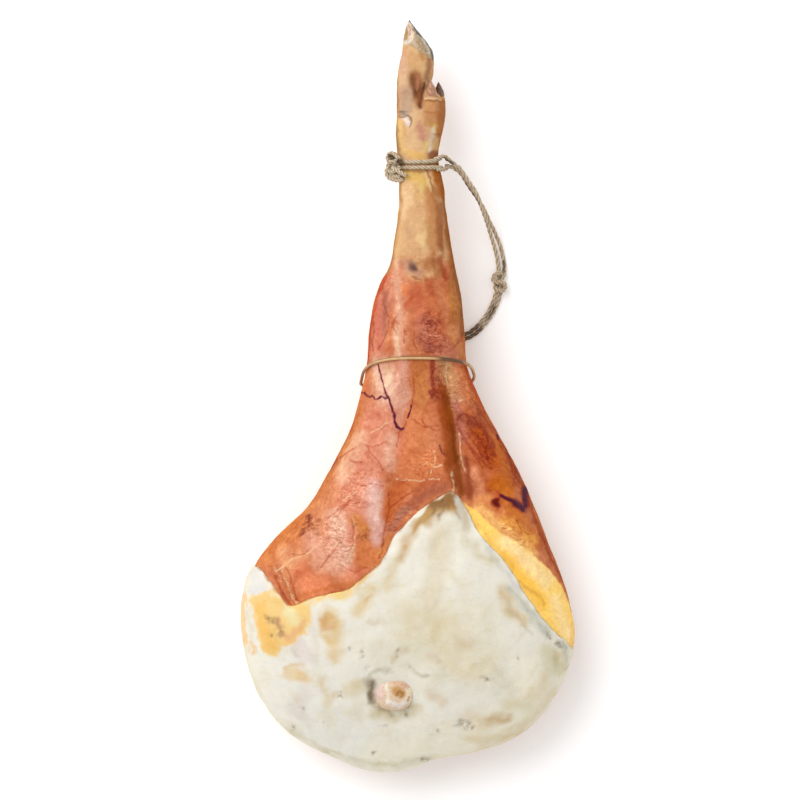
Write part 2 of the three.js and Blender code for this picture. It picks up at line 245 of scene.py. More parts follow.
def tube_faces(rows, columns, ring=False):
    """Faces of a tube whose columns run round it. The last row of a ring joins its first row; the
    ends of any other tube are closed by one polygon each."""
    index = np.arange(rows * columns).reshape(rows, columns)
    wrapped = np.concatenate([index, index[:, :1]], 1)
    if ring:
        return quads(np.concatenate([wrapped, wrapped[:1]], 0))
    return quads(wrapped) + [index[0, ::-1].tolist(), index[-1].tolist()]


# %% [markdown]
# ## Laid rope
# Hemp rope is three strands twisted together. Cut across, it is three round lobes; along the rope
# the lobes turn once in each lay. Carrying that outline along a route, turning as it goes, gives the
# strands with their deep grooves, which a round tube with a bump would not show at its edges.

# %% Rope sizes
ROPE_DIAMETER = 4.2
ROPE_LAY = 13
LOOP_LAY = 21
STRAND_OFFSET = 0.46
STRAND_RADIUS = 0.54
STRANDS = 3
ROPE_AROUND = 26
ROPE_STEP = 0.6
# Share of the rope's area that a cut end starts with, and how fast the area grows from it
END_SHARE = 0.25
END_WIDENING = 1.5
# Painted shade in the grooves between the strands: where it is darkest, as a share of the way from
# a strand's middle to its side, and how wide its fade is
GROOVE_DARKEST = 1.1
GROOVE_SOFT = 0.5
# Where the rope is painted darker: half width, soft edge, points along each. The first is painted
# shade where the tail runs in under the shank, the fifth is painted shade along the outer run's
# left edge, and the others are darker patches
ROPE_DARKENING = [
    (7, 9, [[46, 54], [58, 58], [68, 65]]),
    (2, 4, [[80, 78], [86, 88]]),
    (2.4, 3, [[-18.6, 239], [-16, 237]]),
    (2.6, 3, [[-9, 234], [-6, 231]]),
    (1.2, 3, [[46, 224], [58, 210], [70, 192]]),
    (2, 4, [[36, 236], [44, 231]]),
    (1.6, 3, [[96, 134], [95.6, 124]]),
]


# %% A laid rope along a line
def frames_along(line, up):
    """Directions across a line: the first is as near to up as it can be, the second square to it."""
    ahead = np.gradient(line, axis=0)
    ahead /= np.linalg.norm(ahead, axis=1, keepdims=True)
    across = np.cross(ahead, up)
    across /= np.linalg.norm(across, axis=1, keepdims=True)
    return np.cross(across, ahead), across


def rope_surface(line, up=(0, 0, 1), diameter=ROPE_DIAMETER, lay=ROPE_LAY, closed=False, turn=0):
    """Three round lobes, turned by one round each lay. At an angle u from its own lobe's middle the
    outline is o cos u + sqrt(s² - (o sin u)²) from the rope's middle, for offset o and radius s."""
    along = along_line(line)
    if closed:
        lay = along[-1] / max(1, round(along[-1] / lay))
    high, across = frames_along(line, np.broadcast_to(np.asarray(up, float), line.shape))
    angle = whole_turn(ROPE_AROUND)[None, :]
    twist = 2 * np.pi * along[:, None] / lay + turn
    lobe = 2 * np.pi / STRANDS
    from_lobe = (angle - twist + lobe / 2) % lobe - lobe / 2
    offset, strand = STRAND_OFFSET * diameter / 2, STRAND_RADIUS * diameter / 2
    reach = offset * np.cos(from_lobe) + np.sqrt(strand**2 - (offset * np.sin(from_lobe)) ** 2)
    if not closed:
        ends = np.minimum(along, along[-1] - along)[:, None]
        reach = reach * np.sqrt(np.clip(END_SHARE + ends / diameter * END_WIDENING, 0, 1))
    points = (
        line[:, None, :]
        + (reach * np.cos(angle))[..., None] * high[:, None, :]
        + (reach * np.sin(angle))[..., None] * across[:, None, :]
    )
    # Painted shade in the grooves, darkest where two strands meet
    groove_shade = 1 - step((GROOVE_DARKEST - np.abs(from_lobe) / (lobe / 2)) / GROOVE_SOFT)
    values = {
        "groove_shade": groove_shade.ravel(),
        "along": np.broadcast_to(along[:, None], groove_shade.shape).ravel() / lay,
        "strand": ((angle - twist) / lobe % STRANDS).ravel(),
        "rope_darkening": area_strength(points, ROPE_DARKENING).ravel(),
    }
    return points, values


def rope_piece(name, line, nodes, closed=False, **shape):
    """A rope along a line. A closed line ends where it starts, so its last row isn't needed."""
    points, values = rope_surface(line, closed=closed, **shape)
    if closed:
        points = points[:-1]
        values = {key: array[:-ROPE_AROUND] for key, array in values.items()}
    faces = tube_faces(*points.shape[:2], ring=closed)
    return make_piece(name, points.reshape(-1, 3), faces, "rope", nodes, values)


# %% [markdown]
# ## The free loop of rope
# One rope leaves the ankle, hangs to the table, goes through the knot and comes back up to the
# ankle. Below the knot its doubled tail turns round under the shank, so the rope's one free length
# is the outer run, the tail and the inner run together. The inner run crosses over the outer one.

# %% Route of the free loop
OUTER_RUN = [
    [36.6, 229.8, 58.3], [43, 228.2, 55.5], [48.7, 225, 52], [53.5, 220.2, 48.5], [60.7, 209, 41.5],
    [68.8, 197.5, 34], [75.8, 186, 26.3], [81.5, 173.5, 17.8], [85.5, 166, 13.2], [88.5, 159, 9],
    [91.8, 151, 5.4], [94.3, 142, 3.3], [96.1, 132, 2.7], [96.3, 125, 3.4], [94.5, 119, 5.4],
]
INNER_RUN = [
    [36.7, 236.8, 61.8], [42, 233.9, 61], [46.5, 230.6, 59.5], [51.2, 226.9, 57], [59.3, 215.2, 50.3],
    [67.9, 202, 42.3], [72.9, 189, 34.5], [78.4, 174, 24.8], [80.9, 166, 19], [83.8, 157, 13.4],
    [86.5, 148, 8.6], [88.8, 139, 5], [90.1, 130, 3.1], [90.6, 120, 4.6],
]
TAIL = [
    [91.4, 107, 4.5], [90.5, 103, 3.4], [86.8, 92, 2.4], [80.9, 80.2, 2.3], [71.3, 68.2, 2.3],
    [63.7, 61.8, 2.3], [55.8, 58.1, 2.3], [47.3, 55.9, 2.3],
]
TAIL_SPACING = 4.6
TAIL_TURN = [[38, 3.4], [28, 6.2], [18, 8.4], [9.5, 7.8], [4.5, 4.4]]
TAIL_TIP = [2.8, 55, 2.3]


def beside_tail(side):
    """The tail's middle line, moved square to itself by half the spacing of its two ropes."""
    middle = np.asarray(TAIL, float)
    ahead = np.gradient(middle[:, :2], axis=0)
    ahead /= np.linalg.norm(ahead, axis=1, keepdims=True)
    shift = np.stack([ahead[:, 1], -ahead[:, 0], np.zeros(len(middle))], 1)
    return middle + shift * side * TAIL_SPACING / 2


def tail_turn(side):
    return [[x, TAIL_TIP[1] + side * half, TAIL_TIP[2]] for x, half in TAIL_TURN]


loop_points = np.concatenate([
    OUTER_RUN, beside_tail(-1), tail_turn(-1), [TAIL_TIP], tail_turn(1)[::-1], beside_tail(1)[::-1],
    INNER_RUN[::-1],
])
loop_line = evenly(loop_points, ROPE_STEP)
loop_nodes = ["rope_run_outer", "rope_run_inner", "rope_bight"]
loop_rope = rope_piece("rope_loop", loop_line, loop_nodes, lay=LOOP_LAY)

# %% [markdown]
# ## The leg's surface
# The leg is a row of sections. Each is a superellipse: a rounded shape whose fullness says how
# square it is, with its own height above and below its widest line. Strokes of relief raise muscles
# and sink the folds between them on the upper side. These are the same named values as the packed
# model's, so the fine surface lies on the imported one.

# %% Stations of the leg and the trotter
# Columns: y, left x, right x, underside z, crown z, fullness
LEG = [
    [266, -7.5, 24, 46.5, 72.5, 2.05], [245, -11.2, 29, 41.5, 77.5, 2.05],
    [230, -9.6, 30.3, 41, 78, 2.05], [210, -9.3, 35.2, 39.5, 80, 2.1],
    [185, -10.2, 37.5, 38, 82.5, 2.15], [155, -14, 42.2, 35.5, 86, 2.2],
    [131, -18.8, 46.4, 33, 89.5, 2.25], [112, -28.2, 49.8, 30, 94, 2.3],
    [90, -35.3, 54, 27, 99, 2.35], [60, -39.8, 56, 23.5, 104, 2.4],
    [30, -42.3, 58.5, 20, 109, 2.4], [-5, -49.2, 72, 15, 115, 2.4],
    [-40, -60.3, 90, 10.5, 121, 2.4], [-75, -79, 109.5, 6, 126.5, 2.4],
    [-110, -99.5, 125, 2, 131, 2.4], [-145, -135, 138.6, -1, 134.5, 2.4],
    [-175, -156.2, 150.6, -1.8, 136, 2.4], [-205, -165, 160.1, -0.5, 135, 2.45],
    [-240, -165.2, 166, 3, 131, 2.45], [-275, -158, 158, 9, 123.5, 2.45],
    [-305, -145.5, 142, 17, 113, 2.4], [-330, -126, 121.5, 27, 101, 2.35],
    [-345, -106.5, 98, 34.5, 91.5, 2.3], [-355, -87.5, 67.5, 41, 84, 2.2],
    [-362, -70, 28, 46, 78, 2.1], [-370, -52.5, 10, 52, 71.5, 2],
    [-374.5, -38, -5.5, 56.5, 66, 2], [-375.7, -20.5, -20.5, 61.5, 61.5, 2],
]
PASTERN = [
    [222, -3, 24, 48, 70, 2], [230, -9.4, 30, 41.3, 77.8, 2.05], [238, -10.6, 29.6, 41, 77.9, 2.05],
    [250, -12, 31, 41, 78, 2.1], [265, -12.7, 34.6, 39.5, 79.5, 2.2],
    [277, -11.8, 36.8, 38.5, 80.5, 2.3], [290, -11.7, 36.5, 38.5, 80.5, 2.3],
    [300, -11.5, 31, 39.5, 79.5, 2.2], [309, -9, 20, 43.5, 75.5, 2],
]
NEAR_TOE = [
    [283, -10.5, 12.5, 58.5, 79.5, 2.2], [298, -11.5, 12.5, 58.3, 81, 2.2],
    [307, -11.5, 17.5, 58.3, 81.5, 2.2], [315, -11.5, 21.7, 58.3, 81.5, 2.2],
    [329, -9.5, 25, 58.3, 81.5, 2.2], [341, -6.7, 24.5, 58.5, 80, 2.2],
    [351, -5.5, 19.5, 59, 78, 2.1], [361, -4, 11.5, 60, 74.5, 2],
    [369, -2, 5, 62, 71, 2], [375, 0.9, 0.9, 66, 66, 2],
]
NEAR_DEWCLAW = [
    [261, 16, 33, 61.5, 77.3, 2.1], [280, 14, 34.5, 60, 79.5, 2.2],
    [293, 14.5, 31.5, 60.5, 79.5, 2.2], [301, 15.5, 28.5, 61.5, 78, 2.1],
    [309, 17.5, 25.5, 63.5, 75, 2], [317.2, 20.8, 20.8, 69.5, 69.5, 2],
]
FAR_DEWCLAW = [
    [261, 18.5, 33.6, 41.3, 57.2, 2.1], [280, 20, 37, 40, 58, 2.2],
    [293, 23, 37, 40.5, 57.5, 2.2], [301, 25, 35.5, 42, 56, 2.1],
    [307, 27, 33.5, 44.5, 54, 2], [313.4, 30.1, 30.1, 49.5, 49.5, 2],
]
FAR_TOE_SHIFT = [0.2, -5, -23.6]

# %% Relief of the upper side
# Each stroke: height, width, points along it
RELIEF = [
    (-10, 8, [[38.5, 22], [43.5, -15], [48.5, -45], [56, -105], [62, -132]]),
    (6, 19, [[70, -10], [84, -45], [99, -85], [113, -125]]),
    (3, 9, [[27, -5], [31, -45], [36, -85]]),
    (6, 30, [[-23, -5], [-43, -55], [-63, -105], [-83, -150]]),
    (-2.5, 8, [[0, -5], [-8, -55], [-15, -105], [-20, -150]]),
    (3, 9, [[2, 112], [-4, 65], [-8, 15]]),
    (-2, 7, [[-23, 95], [-26, 45]]),
    (-2.5, 7, [[31, 140], [37, 95], [42, 50]]),
    (-6, 5, [[-140, -165], [-128, -185], [-117, -207]]),
    (4, 34, [[-80, -235], [-70, -270]]),
    (4, 42, [[60, -190], [90, -250]]),
    (-5, 25, [[-17, -297], [-15, -298]]),
]

# %% A point on a limb
LIMB_MIDDLE = 0.46
THINNEST = 0.01
UPPER_FADE = 0.6
SHORT_OF_END = 1.001
STATION_SAMPLES = 6000
RING_SAMPLES = 2000


def limb(stations, t, a, inset=0, lift=0, relief=False):
    """A point t stations along and at angle a: x = middle + half |cos a|^p and z = middle + rise
    |sin a|^p with their signs, p = 2 / fullness. The lift and the relief fade in up the sides."""
    y, left, right, low, high, fullness = np.moveaxis(smooth(stations, t), -1, 0)
    power = 2 / fullness
    middle = low + LIMB_MIDDLE * (high - low)
    c, s = np.cos(a), np.sin(a)
    half = np.maximum(THINNEST, (right - left) / 2 - inset)
    rise = np.maximum(THINNEST, np.where(s > 0, high - middle, middle - low) - inset)
    x = (left + right) / 2 + half * np.sign(c) * np.abs(c) ** power
    z = middle + rise * np.sign(s) * np.abs(s) ** power
    y = y + 0 * x
    raised = strokes(np.stack([x, y], -1), RELIEF) if relief else 0
    z = z + step(np.maximum(0, s) / UPPER_FADE) * (lift + raised)
    return np.stack([x, y, z], -1)


def station_at(stations, y):
    """Where along the stations the limb has this y."""
    t = np.linspace(0, len(stations) - 1, STATION_SAMPLES)
    ys = smooth(stations, t)[:, 0]
    return np.interp(-np.asarray(y, float), -ys, t) if ys[0] > ys[-1] else np.interp(y, ys, t)


def last_station(stations):
    """How many stations along a limb ends, just short of the last one."""
    return len(stations) - SHORT_OF_END


def leg_height(x, y, **shape):
    """Height of the leg's upper surface over a place, found along its section by angle."""
    t = float(station_at(LEG, y))
    a = np.linspace(0, np.pi, RING_SAMPLES)
    ring = limb(LEG, np.full_like(a, t), a, relief=True, **shape)
    return float(np.interp(-x, -ring[:, 0], ring[:, 2]))


print("leg is", round(leg_height(0, -200), 1), "mm high at its thickest")

# %% [markdown]
# ## Colours laid on in strokes
# Cured meat, silverskin and smeared lard change colour from place to place, not in a pattern. A
# painter would lay soft washes over one another, so that is done here: each wash has a colour, a
# line or an outline, and a soft edge, and it is laid on the points of the fine mesh. Some washes
# are painted shade, and some painted highlights. Random lumps shift the places first, so that no
# edge is straight.

# %% Colours
LIGHT_ON_WHITE = 1.24
GLOSS_LIGHT = 0.011
DARKEST = 0.004
# Painted shade on the sides: where it starts, and its tints for the skin and for the lard
SIDE_FROM = 0.68
SIDE_SHADE_TINT = (0.90, 0.77, 0.38)
LARD_SIDE_SHADE_TINT = (0.94, 0.89, 0.74)
UNDER_FROM = 0.04
UNDER_WAVER = 0.12
UNDER_TURN = 0.22
RIND_UNDER = (212, 152, 96)


def seen(colour):
    """The surface colour that looks like this sRGB colour (0 to 255) under the scene's light, once
    the white light that the gloss adds is taken off. More than 255 makes up for a slope in shade."""
    value = np.asarray(colour, float) / 255
    linear = np.where(value <= 0.04045, value / 12.92, ((value + 0.055) / 1.055) ** 2.4)
    return np.clip(linear / LIGHT_ON_WHITE - GLOSS_LIGHT, DARKEST, 1)


def mix(colours, share, other):
    """Blend another colour in, by its share at each point."""
    return colours + share[:, None] * (other - colours)


def lay_wash(colours, places, colour, strength, half, soft, path):
    """Blend a colour in along a path: fully within half its width less the soft edge's half."""
    share = strength * step(0.5 + (half - distance(places, path)) / soft)
    return mix(colours, share, seen(colour))


def lay_patch(colours, places, colour, strength, soft, outline):
    """Blend a colour in over an outline's inside."""
    share = strength * step(0.5 + inside_distance(places, outline) / soft)
    return mix(colours, share, seen(colour))


def washed(places, base, washes):
    """A base colour with washes laid over it, one after another."""
    colours = np.tile(seen(base), (len(places), 1))
    for wash in washes:
        colours = lay_wash(colours, places, *wash)
    return colours


def paint_side_shade(colours, normals, tint):
    """Painted shade: multiply by a tint where the surface turns down, fully where it faces sideways or
    lower.
    """
    share = step((SIDE_FROM - normals[:, 2]) / SIDE_FROM)[:, None]
    return colours * (1 + share * (np.asarray(tint) - 1))


def underside(points, normals):
    """1 where the surface faces down, from just below its widest line, whose height wavers."""
    down = UNDER_FROM - normals[:, 2] + UNDER_WAVER * lumps(points, size=14, seed=35)
    return step(down / UNDER_TURN)


def wander(points, seed, reach, size):
    """Places on the ground, each shifted by its own random lumps. The shift along x takes the seed
    and the shift along y another one, ten higher."""
    shift = np.stack([lumps(points, size, seed + more, layers=3) for more in (0, 10)], -1)
    return points[..., :2] + reach * shift


# %% [markdown]
# ## Skin of the leg
# The upper shank still has its golden rind. Below it the rind has been cut off, and pink silverskin,
# amber fat and red muscle show. Dark veins and thin tears run over them, and a band of yellow fat
# lies along the right of the lard. The washes go on from the large areas to the small ones.

# %% Outline of the lard and of the yellow fat
LARD_OUTLINE = [
    [-182, -172], [-151, -171], [-144, -177], [-135, -188], [-124, -204], [-116, -209.5],
    [-97, -201], [-63, -193], [-50, -184], [-28, -165], [-16, -143], [-8, -132], [12, -113],
    [28, -102], [43.5, -95], [58.5, -112], [72.5, -139], [95.5, -164], [117.5, -198],
    [140.5, -229], [157.5, -245], [184, -269], [184, -405], [-182, -405],
]
OUTLINE_STEP = 3
LARD_EDGE = np.concatenate([evenly(LARD_OUTLINE[:-2], OUTLINE_STEP), LARD_OUTLINE[-2:]])
YELLOW_FAT = [
    [52, -104], [58, -110], [67.5, -115], [78.5, -126], [89.5, -135], [103.5, -144], [114.5, -152],
    [126.5, -161], [137.5, -171], [145.5, -180], [152.5, -191], [158.5, -203], [162.5, -216],
    [172, -228], [172, -262], [157.5, -250], [140.5, -234], [117.5, -203], [95.5, -169],
    [72.5, -144],
]

# %% Washes on the skin
# Each: colour as seen, strength, half width, soft edge, points along it
SKIN_BASE = (212, 130, 88)
SKIN_WASHES = [
    # Rind of the upper shank
    ((229, 184, 134), 1.0, 30, 12, [[10, 300], [10, 230], [14, 180], [12, 146]]),
    ((224, 178, 130), 0.9, 17, 12, [[8, 160], [9, 142], [9, 134]]),
    ((240, 200, 152), 0.7, 5, 9, [[-2, 218], [2, 190], [4, 165]]),
    ((222, 182, 112), 0.5, 7, 11, [[4, 226], [12, 214], [10, 200]]),
    ((168, 104, 46), 1.0, 5.5, 6, [[32, 226], [36.5, 200], [41.5, 165], [46, 135], [49, 112]]),
    ((172, 102, 50), 0.8, 4, 8, [[25, 205], [28, 180], [32, 150]]),
    ((160, 92, 58), 0.7, 2.2, 7, [[31, 188], [32.5, 165], [33.5, 145], [35, 125]]),
    ((202, 138, 88), 0.8, 4, 8, [[21, 204], [22, 170], [24, 146], [25, 132]]),
    ((182, 134, 92), 0.8, 2.2, 4, [[-9.5, 226], [-9.5, 200], [-12, 165], [-16, 140], [-21, 124]]),
    ((180, 116, 70), 0.8, 6, 7, [[19, 132], [25, 130], [30, 124]]),
    ((206, 158, 132), 0.8, 5, 7, [[-7, 131], [1, 126], [9, 122]]),
    ((216, 170, 122), 0.8, 9, 14, [[2, 178], [3, 150]]),
    ((186, 144, 88), 0.7, 2.4, 7, [[17, 170], [20, 158], [18, 150]]),
    ((236, 202, 144), 0.7, 3.4, 7, [[12, 158], [14, 150]]),
    ((198, 152, 116), 0.6, 3, 7, [[0, 168], [4, 160]]),
    ((214, 166, 120), 0.6, 2, 6, [[8, 206], [7, 192], [10, 186]]),
    ((240, 204, 158), 0.6, 3, 7, [[-5, 200], [-4, 176]]),
    ((230, 190, 104), 0.75, 6, 12, [[0, 221], [10, 218], [16, 212]]),
    ((232, 200, 132), 0.7, 2.4, 5, [[13, 208], [14.6, 200]]),
    ((178, 102, 34), 0.85, 3.5, 6, [[28, 224], [31, 210], [33, 200]]),
    ((236, 206, 150), 0.8, 1.4, 3, [[16, 226], [20, 214], [23, 206]]),
    ((154, 96, 60), 0.8, 0.8, 2, [[19, 226], [23, 216], [24.5, 205]]),
    # Painted shade on the skin between the rope's two turns and just below them
    ((132, 76, 54), 0.9, 0.9, 2.2, [[-8, 230], [14, 229.6], [30, 231.4]]),
    ((150, 96, 58), 0.6, 1, 3, [[-8, 224.4], [10, 223.4], [24, 224]]),
    # Shank below the rind
    ((214, 134, 106), 0.95, 9, 9, [[-19, 112], [-27, 92], [-31, 65], [-33, 40], [-34, 30]]),
    ((170, 108, 88), 0.7, 3, 7, [[-22, 100], [-25, 80], [-26, 60]]),
    ((196, 80, 40), 0.9, 2, 4, [[-22, 118], [-30, 101], [-36, 82], [-39.5, 60], [-41.5, 30]]),
    ((212, 118, 98), 0.7, 3, 5, [[-30, 95], [-31, 70], [-29, 48]]),
    # Painted highlight: the next three pale strokes run down the shank's ridge
    ((224, 156, 122), 0.9, 6.5, 9, [[-10, 124], [-9, 100], [-8, 70], [-7, 40]]),
    ((234, 182, 150), 0.85, 3, 7, [[-12, 134], [-11, 112], [-10, 92], [-11, 70], [-11, 40]]),
    ((238, 200, 164), 0.8, 2, 6, [[-11, 66], [-10, 50], [-10.5, 36]]),
    ((234, 142, 92), 0.9, 3.4, 5, [[-4, 108], [-3, 101]]),
    ((204, 88, 56), 0.85, 1.6, 5, [[-3, 88], [2, 93], [6, 97.5]]),
    ((216, 122, 86), 0.8, 6, 8, [[9, 104], [10, 84], [11, 70]]),
    ((182, 88, 58), 0.8, 4, 8, [[20, 116], [22, 108], [24, 100]]),
    ((166, 74, 46), 0.8, 2.6, 7, [[32, 134], [34, 126], [38, 118]]),
    ((206, 112, 74), 0.7, 7, 9, [[22, 92], [28, 76], [30, 62]]),
    ((190, 122, 66), 0.9, 6, 7, [[44, 110], [47, 92], [48, 72]]),
    ((144, 92, 50), 0.85, 1.8, 4, [[46, 118], [51, 104], [54, 84], [55, 60]]),
    ((200, 120, 96), 0.8, 10, 9, [[16, 70], [22, 56], [34, 46], [46, 42]]),
    ((172, 94, 76), 0.75, 4.5, 7, [[11, 56], [18, 50], [26, 46]]),
    ((214, 144, 94), 0.8, 5, 7, [[44, 66], [50, 50], [52, 40]]),
    # Around and below the cord
    ((226, 138, 98), 0.9, 3, 4, [[-42, 26], [-44, 12], [-48, -4]]),
    ((232, 184, 156), 0.95, 12, 12, [[-26, 28], [-22, 10], [-20, -8]]),
    ((243, 208, 176), 0.8, 4, 6, [[-18, 26], [-19, 14]]),
    ((234, 178, 154), 0.9, 7, 7, [[-6, 28], [-7, 0], [-10, -22], [-13, -30]]),
    ((204, 128, 74), 0.95, 7, 8, [[11, 32], [11, 10], [12, -12]]),
    ((222, 136, 88), 0.9, 12, 10, [[6, -24], [8, -46], [8, -62]]),
    ((152, 66, 50), 0.85, 3, 4.5, [[24, 34], [25, 18], [25, 4]]),
    ((134, 48, 34), 0.85, 2, 3.5, [[20, 2], [24, -2.5], [28, 1], [27, 5]]),
    ((190, 96, 48), 0.85, 4.5, 6, [[32, 6], [35, -14], [38, -30]]),
    ((208, 152, 106), 0.95, 7, 6, [[36, 31], [43, 14], [46, -4], [50, -18]]),
    ((206, 118, 70), 0.9, 6, 6, [[58, 24], [64, 6], [68, -10]]),
    ((198, 84, 42), 0.9, 2, 4, [[56, 28], [62, 16], [68, 0], [76, -18]]),
    ((204, 150, 116), 0.7, 8, 8, [[50, -6], [56, -14], [64, -16]]),
    # Left thigh
    ((228, 150, 120), 0.95, 22, 20, [[-30, -30], [-44, -66], [-60, -104], [-74, -132]]),
    ((210, 130, 80), 0.95, 6, 9, [
        [-51, -18], [-62, -42], [-76, -70], [-92, -100], [-118, -126], [-142, -152],
    ]),
    ((190, 92, 48), 0.8, 1.6, 3, [
        [-56, -28], [-66, -47], [-82, -78], [-98, -105], [-122, -129], [-146, -156],
    ]),
    ((240, 186, 152), 0.85, 8, 9, [[-48, -44], [-58, -62], [-66, -80]]),
    ((236, 178, 150), 0.85, 8, 9, [[-16, -46], [-19, -68]]),
    ((232, 138, 100), 0.8, 3.4, 6, [[-8, -40], [-9, -60]]),
    # Painted sheen: the next two whitish pink strokes on the left thigh
    ((232, 190, 180), 0.8, 7, 16, [[-34, -92], [-36, -108], [-34, -128], [-32, -142]]),
    ((238, 206, 190), 0.45, 2.6, 8, [[-30, -98], [-30, -112], [-29, -126]]),
    ((222, 146, 102), 0.9, 14, 16, [[-84, -100], [-98, -120], [-84, -128]]),
    ((222, 138, 82), 0.85, 10, 10, [[-110, -128], [-128, -144], [-140, -160]]),
    ((242, 194, 168), 0.85, 10, 13, [[-72, -124], [-70, -142], [-66, -168]]),
    ((238, 176, 146), 0.85, 12, 14, [[-92, -148], [-82, -166]]),
    ((238, 172, 126), 0.8, 7, 8, [[-124, -158], [-118, -172], [-110, -162]]),
    ((230, 136, 96), 0.85, 9, 13, [[-106, -178], [-100, -192], [-84, -188]]),
    ((230, 142, 110), 0.7, 7, 12, [[-62, -178], [-48, -176]]),
    ((214, 134, 72), 0.85, 6, 9, [[-54, -124], [-46, -130], [-42, -140]]),
    ((218, 130, 78), 0.8, 8, 8, [[-44, -152], [-46, -166], [-34, -160]]),
    ((206, 112, 50), 0.6, 1.8, 7, [[-112, -204], [-98, -196], [-74, -190], [-54, -186]]),
    # Between the fold and the lard
    ((214, 126, 80), 0.9, 12, 10, [[2, -66], [4, -82], [20, -74], [34, -64]]),
    ((200, 104, 54), 0.85, 8, 8, [[-8, -92], [-14, -108], [-18, -120]]),
    ((196, 108, 70), 0.8, 7, 8, [[8, -96], [22, -88], [34, -84]]),
    ((178, 104, 78), 0.75, 5, 6, [[-8, -118], [8, -106], [22, -98], [34, -92]]),
    ((186, 128, 104), 0.7, 4, 5, [[-18, -134], [-10, -122], [0, -114]]),
    ((224, 146, 86), 0.8, 4, 5, [[-20, -140], [-28, -156]]),
    # Right flank, beyond the fold
    # The flank's darker orange-brown here is partly painted shade, on the side away from the light
    ((198, 108, 66), 0.95, 16, 12, [[58, -24], [72, -56], [86, -88], [98, -122]]),
    ((192, 120, 100), 0.85, 5, 6, [[48, -10], [50, -30], [54, -44]]),
    ((156, 80, 56), 0.8, 5, 6, [[52, -22], [62, -28], [66, -38]]),
    ((200, 98, 30), 0.9, 9, 13, [[72, -38], [82, -54], [86, -66]]),
    ((206, 112, 40), 0.95, 8, 8, [[92, -50], [100, -70], [100, -92], [88, -88]]),
    ((156, 80, 54), 0.9, 5, 6, [[56, -66], [60, -84], [62, -102]]),
    ((206, 132, 98), 0.8, 2.6, 4, [[50, -62], [54, -76]]),
    ((222, 144, 106), 0.8, 3.5, 6, [[66, -74], [72, -90], [70, -102]]),
    ((240, 160, 100), 0.95, 9, 9, [[76, -106], [88, -114], [82, -120]]),
    ((214, 124, 56), 0.85, 7, 8, [[98, -104], [112, -124], [126, -146]]),
    ((248, 174, 86), 0.85, 6, 8, [[96, -126], [110, -136], [122, -146]]),
    # Partly painted light: a peach band, over 255 to make up for shade on its slope
    ((256, 198, 122), 0.95, 4.5, 7, [[70, -114], [84, -125], [97, -135], [110, -146], [124, -156]]),
    ((172, 78, 34), 0.85, 2.2, 4, [
        [64, -6], [76, -22], [88, -40], [98, -56], [110, -84], [120, -106], [132, -138], [142, -162],
        [152, -184],
    ]),
    # The fold between the two large muscles: its own brown, with painted shade in its groove
    ((180, 88, 34), 0.85, 5, 7, [[35, 4], [37, -14], [39, -40], [43, -64]]),
    ((158, 82, 36), 0.85, 3.4, 6, [[37, 2], [40, -10], [43, -34], [46, -56], [50, -80], [54, -98]]),
    ((128, 78, 30), 0.6, 1.6, 4, [[44, -36], [46.5, -54], [48.5, -66]]),
    ((168, 82, 40), 0.85, 3.4, 5, [[38, -60], [41, -74], [45, -90]]),
    # Spots
    ((142, 106, 92), 0.8, 4, 6, [[5, 129], [6, 125]]),
    ((100, 74, 62), 0.9, 2, 4, [[5.6, 127.4], [6.2, 126]]),
    ((150, 84, 58), 0.7, 0.7, 2.4, [[3, 117.4], [7, 115.2], [12, 115.6]]),
    ((160, 62, 34), 0.75, 3, 5, [[100, -104], [112, -111], [117, -104], [117, -95]]),
    ((196, 74, 40), 0.55, 5.2, 6, [[87, -102], [88, -112]]),
    ((116, 18, 30), 1.0, 3.9, 4, [[86.4, -104.6], [87.4, -109]]),
    ((100, 34, 58), 0.9, 0.9, 2, [[31, -49], [33, -54], [35, -58]]),
    ((132, 56, 30), 0.9, 0.9, 2, [[-103, -121], [-100, -119], [-98, -124], [-101, -127], [-97, -129]]),
    ((136, 62, 34), 0.9, 0.9, 2, [
        [-107, -134], [-104, -133], [-106, -140], [-110, -142], [-108, -136],
    ]),
    ((150, 92, 60), 0.75, 0.7, 2, [[-93, -125], [-89, -123], [-88, -128], [-92, -129]]),
    ((150, 92, 60), 0.75, 0.7, 2, [[-95, -134], [-90, -133], [-89, -138], [-94, -138]]),
    ((142, 74, 40), 0.8, 0.9, 2, [[-55, -130], [-52, -128]]),
    ((130, 66, 40), 0.85, 1.1, 2.4, [[-44, -138], [-42, -142]]),
    ((128, 40, 44), 0.9, 0.9, 2, [[-28, -160], [-27.5, -157]]),
    ((150, 50, 40), 0.85, 0.8, 2, [[-26, -147], [-25.6, -149]]),
]
# The yellow fat's colours over 255 are partly painted light, making up for shade on its slope
FAT_BASE = (270, 224, 120)
FAT_WASHES = [
    ((268, 238, 176), 0.8, 8, 12, [[96, -146], [112, -160], [126, -172], [136, -186]]),
    ((266, 208, 86), 0.85, 6, 9, [[96, -160], [112, -180], [134, -208]]),
    ((246, 196, 92), 0.7, 1.6, 5, [[62, -122], [76, -138], [90, -154], [104, -170]]),
    ((226, 170, 84), 0.7, 1.2, 3, [[110, -186], [120, -196], [132, -202], [134, -210]]),
    ((272, 242, 176), 0.7, 6, 10, [[146, -204], [152, -224], [160, -240]]),
    ((258, 200, 120), 0.6, 2, 4, [[164, -230], [164, -254]]),
]

